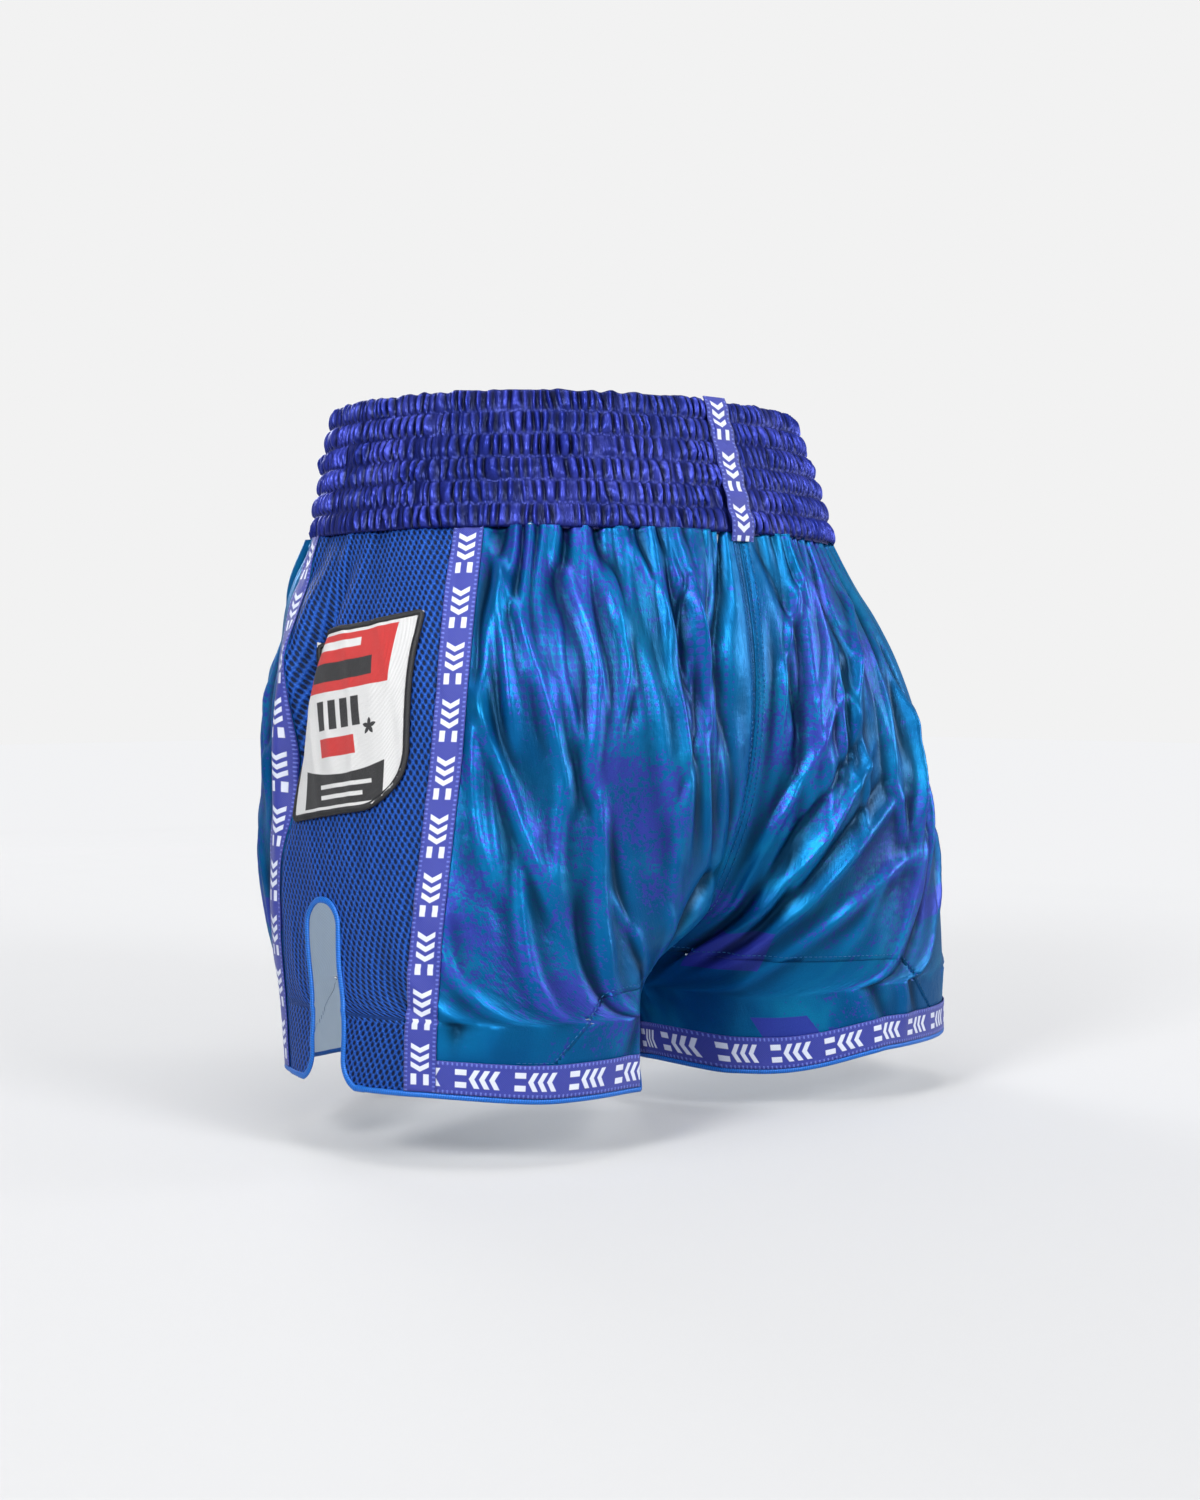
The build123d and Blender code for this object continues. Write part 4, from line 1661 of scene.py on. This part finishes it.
@dataclass
class Gusset:
    """The crotch gusset, which joins both legs."""

    garment: Garment

    def build(self) -> None:
        """One sheet for each leg, joined along the middle into one piece."""
        sheets, area = [], 0.0
        for side, leg in self.garment.legs.items():
            z = np.linspace(PANEL_FOOT_Z, 0.056, 34)
            over = gusset_distance(leg)
            for front in (False, True):
                q = np.linspace(0.0, 0.40, 150)
                q = 1.0 - q if front else q
                qq, zz = np.meshgrid(q, z)
                length = leg.form.length(zz)
                qq, zz, keep = snap_to_line(lambda a, b, f=over: 0.0020 - f(a, b), qq, zz, length)
                points = leg.points(qq, zz, -0.0002)
                uv = np.stack([qq * length + UV_SHIFT[side], zz], axis=-1)
                turned = (side is Side.LEFT) != front
                # Painted shade: the fold valleys darken this sheet's base colour.
                relief = valley_shade_of(leg.folds.lift(qq, zz), 6, -0.0017, 0.0012)
                sheets.append(Patch("Gusset_sheet", points, uv, keep, flip=turned, relief=relief).build())
                area += sheet_size(points, keep)[1]
        bm = bmesh.new()
        for sheet in sheets:
            bm.from_mesh(sheet.data)
        bmesh.ops.remove_doubles(bm, verts=bm.verts, dist=0.0002)
        piece = sheets[0]
        piece.name = "Crotch_gusset"
        bm.to_mesh(piece.data)
        bm.free()
        for sheet in sheets[1:]:
            bpy.data.objects.remove(sheet)
        thicken(piece, 0.0004, 1)
        self.garment.finish_piece(piece, SATIN, ["crotch_gusset"], SATIN_BACK)


@dataclass
class Waistband:
    """The gathered band with its lining, elastics, eyelets, back tape and care label."""

    garment: Garment
    rows: int = 6
    columns: int = 1640
    row_steps: int = 9

    def __post_init__(self) -> None:
        """Measures the ring round the band."""
        self.form = self.garment.band_form
        dense = np.linspace(0, 2 * math.pi, 4001)
        points = self.form.place(dense, np.full_like(dense, 0.296))
        run = run_along(points)
        self.length = float(run[-1])
        self.u = np.linspace(0, self.length, self.columns + 1)
        self.t = np.interp(self.u, run, dense)
        self._noise = [Noise(70 + k) for k in range(8)]

    def _ring(self, u: np.ndarray, grain: float, v: np.ndarray | float, which: int) -> np.ndarray:
        """Noise that closes on itself round the band.

        Args:
            u: Distances round the band.
            grain: The noise's grain.
            v: A second coordinate, across the rows.
            which: Which noise is read.

        Returns:
            The noise.
        """
        turns = max(1, round(self.length / grain))
        a = 2 * math.pi * u / self.length
        size = turns / (2 * math.pi)
        n = self._noise[which % 8]
        return n(size * np.cos(a) + 7.3 + v, size * np.sin(a) + 3.1 + 1.7 * np.asarray(v))

    def relief(self, u: np.ndarray, z: np.ndarray) -> np.ndarray:
        """How far the gathered cloth stands off the form.

        Args:
            u: Distances round the band.
            z: Heights.

        Returns:
            The distance off the form at each place.
        """
        pitch = (TOP_Z - SEAM_Z) / self.rows
        row = np.clip(np.floor((TOP_Z - z) / pitch + 1e-9), 0, self.rows - 1)
        w = np.clip((TOP_Z - z) / pitch - row, 0.0, 1.0)
        hump = np.sin(math.pi * w)
        loose = np.where((row == 2) | (row == 3), 1.0, 0.0)
        puff = 0.0023 * hump**0.36 * (1.0 + (0.16 + 0.22 * loose) * self._ring(u, 0.020, row * 0.9, 0))
        count = round(self.length / 0.0050)
        phase = math.pi * count * u / self.length
        phase = phase + 1.5 * self._ring(u, 0.012, row * 1.3, 1)
        phase = phase + 0.9 * self._ring(u, 0.005, row * 0.7 + 0.5 * w, 2)
        phase = phase + 0.9 * (w - 0.5) * self._ring(u, 0.018, row + 11.0, 3)
        round_top = 2.0 * np.abs(np.sin(phase)) ** 0.8 - 1.1
        sharp_top = 1.0 - 2.0 * np.abs(np.sin(phase)) ** 0.75
        share = smooth(-0.35, 0.25, self._ring(u, 0.014, row * 1.9 + 21.0, 6))
        crest = share * sharp_top + (1.0 - share) * round_top
        size = (0.0012 + 0.0010 * hump**0.6) * (0.8 + 0.5 * self._ring(u, 0.009, row * 2.1, 4))
        big = 0.0011 * loose * hump * self._ring(u, 0.0075, row * 3.7 + 0.8 * w, 5)
        total = puff + size * crest + big
        rest = 0.0010
        return rest + 0.5 * (total - rest + np.sqrt((total - rest) ** 2 + 0.0009**2))

    def shell(self) -> None:
        """The outer cloth, rolled in at the top and tucked in at the seam."""
        pitch = (TOP_Z - SEAM_Z) / self.rows
        w = np.linspace(0, 1, self.row_steps + 1)
        heights = np.concatenate([TOP_Z - (row + w[:-1]) * pitch for row in range(self.rows)] + [[SEAM_Z]])
        u, z = np.meshgrid(self.u, heights)
        t = np.broadcast_to(self.t, u.shape)
        lift = self.relief(u, z)
        near_top = np.exp(-(TOP_Z - z) / 0.003)
        scallop = near_top * (0.0009 * self._ring(u, 0.0045, 5.0, 6) - 0.0007)
        base = self.form.place(t, z)
        points = base + self.form.normal(base) * lift[..., None]
        points[..., 2] += scallop
        lips = []
        for row, shift, down in ((0, -0.0016, -0.0004), (0, -0.0026, -0.0030), (-1, -0.0012, 0.0010)):
            edge = points[row] - self.form.normal(base[row]) * (lift[row] - shift)[..., None]
            edge[..., 2] = points[row][..., 2] + down
            lips.append(edge)
        points = np.concatenate([[lips[1]], [lips[0]], points, [lips[2]]])
        uv = np.stack(np.broadcast_arrays(self.u[None, :], points[:, :1, 2]), axis=-1)
        count = lift.shape[1]
        # Painted shade: the pleat valleys darken the band's base colour, and the rolled lips take the shade of the
        # rows beside them.
        valley = valley_shade_of(np.tile(lift, 3), 5, -0.0008, 0.0010, axes=(1,))[:, count:2 * count]
        valley = np.concatenate([[valley[0]], [valley[0]], valley, [valley[-1]]])
        piece = Patch("Waistband_shell", points, uv, closed=True, flip=True, relief=valley).build()
        self.garment.finish_piece(piece, BAND, ["waistband_shell"])

    def lining(self) -> None:
        """The lining's smooth inner ring."""
        heights = np.linspace(TOP_Z - 0.0012, SEAM_Z, 40)
        u, z = np.meshgrid(self.u[::3], heights)
        t = np.broadcast_to(self.t[::3], u.shape)
        base = self.form.place(t, z)
        lift = -0.0016 + 0.00035 * self._ring(u, 0.006, z * 30, 7)
        points = base + self.form.normal(base) * lift[..., None]
        uv = np.stack([u, z], axis=-1)
        piece = Patch("Waistband_lining", points, uv, closed=True, flip=True).build()
        thicken(piece, 0.0005)
        self.garment.finish_piece(piece, LINING, ["waistband_lining"])

    def back_tape(self) -> None:
        """The woven tape over the band at the centre back."""
        rows = np.linspace(-TAPE_WIDTH / 2, TAPE_WIDTH / 2, 13)
        z = np.linspace(TOP_Z + 0.0004, SEAM_Z - 0.004, 90)
        _, rx, _, _, n = self.form.values(z)
        share = np.abs(rows)[None, :] / rx[:, None]
        t = math.pi / 2 - np.sign(rows)[None, :] * np.arcsin(share ** (n[:, None] / 2))
        zz = np.broadcast_to(z[:, None], t.shape)
        base = self.form.place(t, zz)
        wave = np.sin(math.pi * np.clip((TOP_Z - z) / (TOP_Z - SEAM_Z), 0, 1) * self.rows) ** 2
        lift = 0.0036 + 0.0009 * wave - 0.0012 * smooth(SEAM_Z + 0.004, SEAM_Z - 0.004, z)
        points = base + self.form.normal(base) * lift[:, None, None]
        uv = np.stack(np.broadcast_arrays((TOP_Z - z)[:, None], rows[None, :]), axis=-1)
        piece = Patch("Back_waist_tape", points, uv).build()
        thicken(piece, 0.0006)
        self.garment.finish_piece(piece, TAPE, ["waist_tape_back"])

    def label(self) -> None:
        """The care label inside the centre back."""
        low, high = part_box("care_label")
        x = np.linspace(low.x, high.x, 16)
        drop = np.linspace(0, high.z - low.z, 24)
        xx, dd = np.meshgrid(x, drop)
        y = (low.y + high.y) / 2 - 0.0025 * (dd / drop[-1]) ** 2
        points = np.stack([xx, y, high.z - dd], axis=-1)
        piece = Patch("Care_label", points, np.stack([xx, dd], axis=-1)).build()
        thicken(piece, 0.0003)
        self.garment.finish_piece(piece, LABEL, ["care_label"])

    def hard_parts(self) -> None:
        """The eyelets and elastics keep their CAD shape and take their own finishes."""
        for name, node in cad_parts.items():
            finish = EYELET if "eyelets" in name else ELASTIC if "elastic" in name else None
            if finish is not None:
                node.data.materials.clear()
                node.data.materials.append(finish.material())

    def build(self) -> None:
        """Makes every piece of the band."""
        self.shell()
        self.lining()
        self.back_tape()
        self.label()
        self.hard_parts()


@dataclass
class Badge:
    """The embroidered badge on the left mesh panel, with its overlocked edge."""

    garment: Garment
    width: float = 0.078
    height: float = 0.090
    middle: tuple[float, float] = (0.024, 0.172)
    tilt: float = 8.0
    small: float = 0.004
    large: float = 0.026

    def _map(self, a: np.ndarray, b: np.ndarray, lift: float) -> tuple[np.ndarray, np.ndarray]:
        """Badge places, a across towards the back and b up, laid on the mesh.

        Args:
            a: Distances across, towards the back.
            b: Distances up.
            lift: Extra distance off the form.

        Returns:
            The points and their outward directions.
        """
        c, s = math.cos(math.radians(self.tilt)), math.sin(math.radians(self.tilt))
        y = self.middle[0] + a * c - b * s
        z = self.middle[1] + a * s + b * c
        leg = self.garment.legs[Side.LEFT]
        q = leg.form.share_at_y(y, z)
        return leg.points(q, z, lift), leg.outward(q, z)

    def _outline(self, inset: float) -> np.ndarray:
        """The badge's outline, anticlockwise from the lower front corner.

        Args:
            inset: How far inside the edge the line runs.

        Returns:
            Points, as across and up.
        """
        w, h = self.width / 2 - inset, self.height / 2 - inset
        line = []
        for cx, cy, start, radius in (
            (-1, -1, 180, self.small), (1, -1, 270, self.large), (1, 1, 0, self.small), (-1, 1, 90, self.small),
        ):
            r = radius - inset
            turn = np.radians(np.linspace(start, start + 90, 14))
            line.append(np.stack([cx * (w - r) + r * np.cos(turn), cy * (h - r) + r * np.sin(turn)], axis=1))
        line = np.concatenate(line)
        closed = np.vstack([line, line[:1]])
        run = run_along(closed)
        at = np.linspace(0, run[-1], 241)[:-1]
        return np.stack([np.interp(at, run, closed[:, k]) for k in range(2)], axis=1)

    def build(self) -> None:
        """The woven base and the wound edge."""
        w, h = self.width / 2 - 0.001, self.height / 2 - 0.001
        a, b = np.meshgrid(np.linspace(-w, w, 61), np.linspace(-h, h, 89))
        r = self.large
        da, db = a - (w - r), -b - (h - r)
        far = np.hypot(np.maximum(da, 0), np.maximum(db, 0))
        outside = (da > 0) & (db > 0) & (far > r)
        scale = np.where(outside, r / np.maximum(far, 1e-9), 1.0)
        a = np.where(outside, (w - r) + da * scale, a)
        b = np.where(outside, -((h - r) + db * scale), b)
        points, _ = self._map(a, b, 0.0016)
        base = Patch("Badge_base", points, np.stack([a, b], axis=-1)).build()
        thicken(base, 0.0011)
        self.garment.finish_piece(base, BADGE, ["badge_base"])
        line = self._outline(0.0013)
        path, out = self._map(line[:, 0], line[:, 1], 0.0012)
        border = tube("Badge_border", path, out, 0.0017, 0.0012, loop=True)
        self.garment.finish_piece(border, MERROW, ["badge_border"])


# ---------------------------------------------------------------- studio


@dataclass(frozen=True)
class Lamp:
    """One soft square lamp, aimed at the garment."""

    name: str
    place: tuple[float, float, float]
    power: float
    size: float

    def aim(self) -> Vector:
        """The way from the lamp to the garment's middle."""
        return Vector((0.0, 0.0, 0.16)) - Vector(self.place)

    def frame(self) -> np.ndarray:
        """The lamp's across, up and forward directions, as rows."""
        turn = self.aim().to_track_quat("-Z", "Y").to_matrix()
        return np.array([turn.col[0], turn.col[1], -turn.col[2]])

    def glow_on(self, points: np.ndarray) -> np.ndarray:
        """How bright the lamp makes an upward-facing white surface at each point.

        Args:
            points: The points.

        Returns:
            The brightness at each point.
        """
        across, up, forward = self.frame()
        total = np.zeros(points.shape[:-1])
        shares = (np.arange(5) + 0.5) / 5 - 0.5
        for a in shares:
            for b in shares:
                spot = np.array(self.place) + self.size * (a * across + b * up)
                way = points - spot
                far = np.linalg.norm(way, axis=-1)
                leaving = np.maximum(way @ forward / far, 0.0)
                landing = np.maximum(-way[..., 2] / far, 0.0)
                total += leaving * landing / far**2
        return total / len(shares) ** 2 * self.power / math.pi**2

    def build(self) -> None:
        """Makes the light."""
        lamp = bpy.data.lights.new(self.name, "AREA")
        lamp.energy, lamp.size = self.power, self.size
        holder = bpy.data.objects.new(self.name, lamp)
        holder.location = self.place
        holder.rotation_euler = self.aim().to_track_quat("-Z", "Y").to_euler()
        bpy.context.scene.collection.objects.link(holder)


LAMPS = (
    Lamp("Key", (1.55, 0.55, 1.05), 24.0, 0.50),
    Lamp("Back", (0.1, 1.9, 1.1), 22.0, 0.6),
    Lamp("Strip", (-1.5, 1.0, 0.5), 10.0, 0.45),
    Lamp("Top", (0.2, 0.2, 1.7), 10.0, 0.8),
    Lamp("Front", (-0.5, -1.7, 0.9), 13.0, 0.7),
)


@dataclass(frozen=True)
class Studio:
    """A plain pale floor, soft lights and the camera."""

    axis_y: float = -0.0203
    distance: float = 1.204
    eye_height: float = 0.190
    turn: float = 42.0
    focal: float = 54.0
    sensor: float = 36.0
    shift: tuple[float, float] = (0.0267, -0.0467)
    floor_z: float = -0.028
    floor_half: float = 6.0
    floor_white: float = 0.5
    pale: float = 0.888
    air_light: float = 0.115

    def build(self) -> None:
        """Makes the floor, the lights, the world and the camera."""
        self._floor()
        for lamp in LAMPS:
            lamp.build()
        bpy.context.scene.view_settings.view_transform = "Standard"
        self._air()
        self._camera()

    def _floor(self) -> None:
        """An evenly pale floor: where the lamps fall off, its own faint glow makes up the rest."""
        bm = bmesh.new()
        bmesh.ops.create_grid(bm, x_segments=120, y_segments=120, size=self.floor_half,
                              matrix=Matrix.Translation((0.0, 0.0, self.floor_z)))
        layer = bm.verts.layers.float.new("Fill")
        places = np.array([vert.co[:] for vert in bm.verts])
        lit = sum(lamp.glow_on(places) for lamp in LAMPS) * self.floor_white
        for vert, bright in zip(bm.verts, lit):
            vert[layer] = float(max(self.pale - self.air_light - bright, 0.0))
        floor = new_piece("Floor", bm)
        paint = bpy.data.materials.new("Floor paint")
        paint.use_nodes = True
        g = Graph(paint.node_tree)
        shader = paint.node_tree.nodes["Principled BSDF"]
        shader.inputs["Base Color"].default_value = (self.floor_white,) * 3 + (1.0,)
        shader.inputs["Roughness"].default_value = 1.0
        shader.inputs["Specular IOR Level"].default_value = 0.0
        shader.inputs["Emission Color"].default_value = (1.0, 1.0, 1.0, 1.0)
        fill = g.add("ShaderNodeAttribute", attribute_name="Fill").outputs["Fac"]
        seen = g.add("ShaderNodeLightPath").outputs["Is Camera Ray"]
        g.put(g.math("MULTIPLY", fill, seen), shader.inputs["Emission Strength"])
        floor.data.materials.append(paint)
        floor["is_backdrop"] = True

    def _air(self) -> None:
        """A world that is pale behind the garment and darker on the camera's side, as a real studio is."""
        world = bpy.data.worlds.new("Studio_air")
        bpy.context.scene.world = world
        world.use_nodes = True
        g = Graph(world.node_tree)
        a = math.radians(180.0 - self.turn)
        facing = g.add("ShaderNodeVectorMath", operation="DOT_PRODUCT")
        coords = g.add("ShaderNodeTexCoord")
        g.put(coords.outputs["Generated"], facing.inputs[0])
        facing.inputs[1].default_value = (-math.sin(a), math.cos(a), 0.0)
        lit = g.mix(g.step(0.05, 0.75, facing.outputs["Value"]), (0.15, 0.16, 0.19), (0.46, 0.47, 0.50))
        seen = g.add("ShaderNodeLightPath").outputs["Is Camera Ray"]
        sky = world.node_tree.nodes["Background"]
        g.put(g.mix(seen, lit, (self.pale, self.pale, self.pale)), sky.inputs["Color"])

    def _camera(self) -> None:
        """A level camera behind the wearer's left."""
        lens = bpy.data.cameras.new("Camera")
        lens.lens, lens.sensor_width = self.focal, self.sensor
        lens.shift_x, lens.shift_y = self.shift
        camera = bpy.data.objects.new("Camera", lens)
        a = math.radians(180.0 - self.turn)
        aim = Vector((0.0, self.axis_y, self.eye_height))
        camera.location = aim + self.distance * Vector((math.sin(a), -math.cos(a), 0.0))
        camera.rotation_euler = (aim - camera.location).to_track_quat("-Z", "Y").to_euler()
        bpy.context.scene.collection.objects.link(camera)
        bpy.context.scene.camera = camera


def tension(side: Side, start: tuple[float, float], end: tuple[float, float], bend: float, height: float,
            width: float = 0.0048) -> Fold:
    """A fold pulled tight between two places."""
    return Fold(side, start, end, width, height, bend)


PLACED_FOLDS: tuple[Fold, ...] = (
    tension(Side.RIGHT, (0.066, 0.190), (0.014, 0.052), 0.0167, 0.0042),
    tension(Side.RIGHT, (0.052, 0.175), (0.010, 0.060), 0.0120, -0.0030),
    tension(Side.RIGHT, (0.089, 0.158), (0.022, 0.045), 0.0120, 0.0046),
    tension(Side.RIGHT, (0.078, 0.165), (0.018, 0.048), 0.0150, -0.0032),
    tension(Side.RIGHT, (0.030, 0.140), (0.010, 0.052), 0.0079, 0.0034, 0.0038),
    tension(Side.RIGHT, (0.112, 0.130), (0.034, 0.040), 0.0135, 0.0042, 0.0055),
    tension(Side.RIGHT, (0.100, 0.140), (0.028, 0.042), 0.0135, -0.0030),
    tension(Side.RIGHT, (0.130, 0.100), (0.050, 0.034), 0.0130, 0.0034, 0.0060),
    tension(Side.RIGHT, (0.098, 0.238), (0.066, 0.150), 0.0060, 0.0040),
    tension(Side.RIGHT, (0.038, 0.245), (0.016, 0.150), 0.0060, 0.0032),
    tension(Side.LEFT, (0.325, 0.245), (0.333, 0.130), 0.0, -0.0075, 0.0260),
    tension(Side.LEFT, (0.020, 0.100), (0.078, 0.046), -0.0080, -0.0060, 0.0080),
    tension(Side.LEFT, (0.133, 0.255), (0.145, 0.150), -0.0050, 0.0036),
    tension(Side.LEFT, (0.106, 0.250), (0.113, 0.140), 0.0060, 0.0038),
    tension(Side.LEFT, (0.082, 0.250), (0.096, 0.160), 0.0040, 0.0032),
    tension(Side.LEFT, (0.056, 0.255), (0.034, 0.150), 0.0050, 0.0030),
    tension(Side.LEFT, (0.158, 0.190), (0.166, 0.092), -0.0050, 0.0042, 0.0055),
    tension(Side.LEFT, (0.108, 0.145), (0.133, 0.044), 0.0060, 0.0036, 0.0060),
    tension(Side.LEFT, (0.150, 0.120), (0.178, 0.030), 0.0040, 0.0030, 0.0060),
)


def save_bounds() -> list:
    """Reads the object's bounds.

    Returns:
        The bounds read now.
    """
    now = [list(map(float, corner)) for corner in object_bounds()]
    return now


def main() -> None:
    """Builds the shorts and the studio."""
    logging.basicConfig(level=logging.INFO)
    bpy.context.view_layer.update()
    make_groups()
    form = LegForm()
    legs = {
        side: Leg(side, form, FoldField(side, form, PLACED_FOLDS), Crease() if side is Side.LEFT else None)
        for side in Side
    }
    garment = Garment(Form(BAND_STATIONS), legs)
    Waistband(garment).build()
    for side in Side:
        LegCover(garment, side).build()
    Gusset(garment).build()
    Badge(garment).build()
    Studio().build()
    save_bounds()


if __name__ == "__main__":
    main()
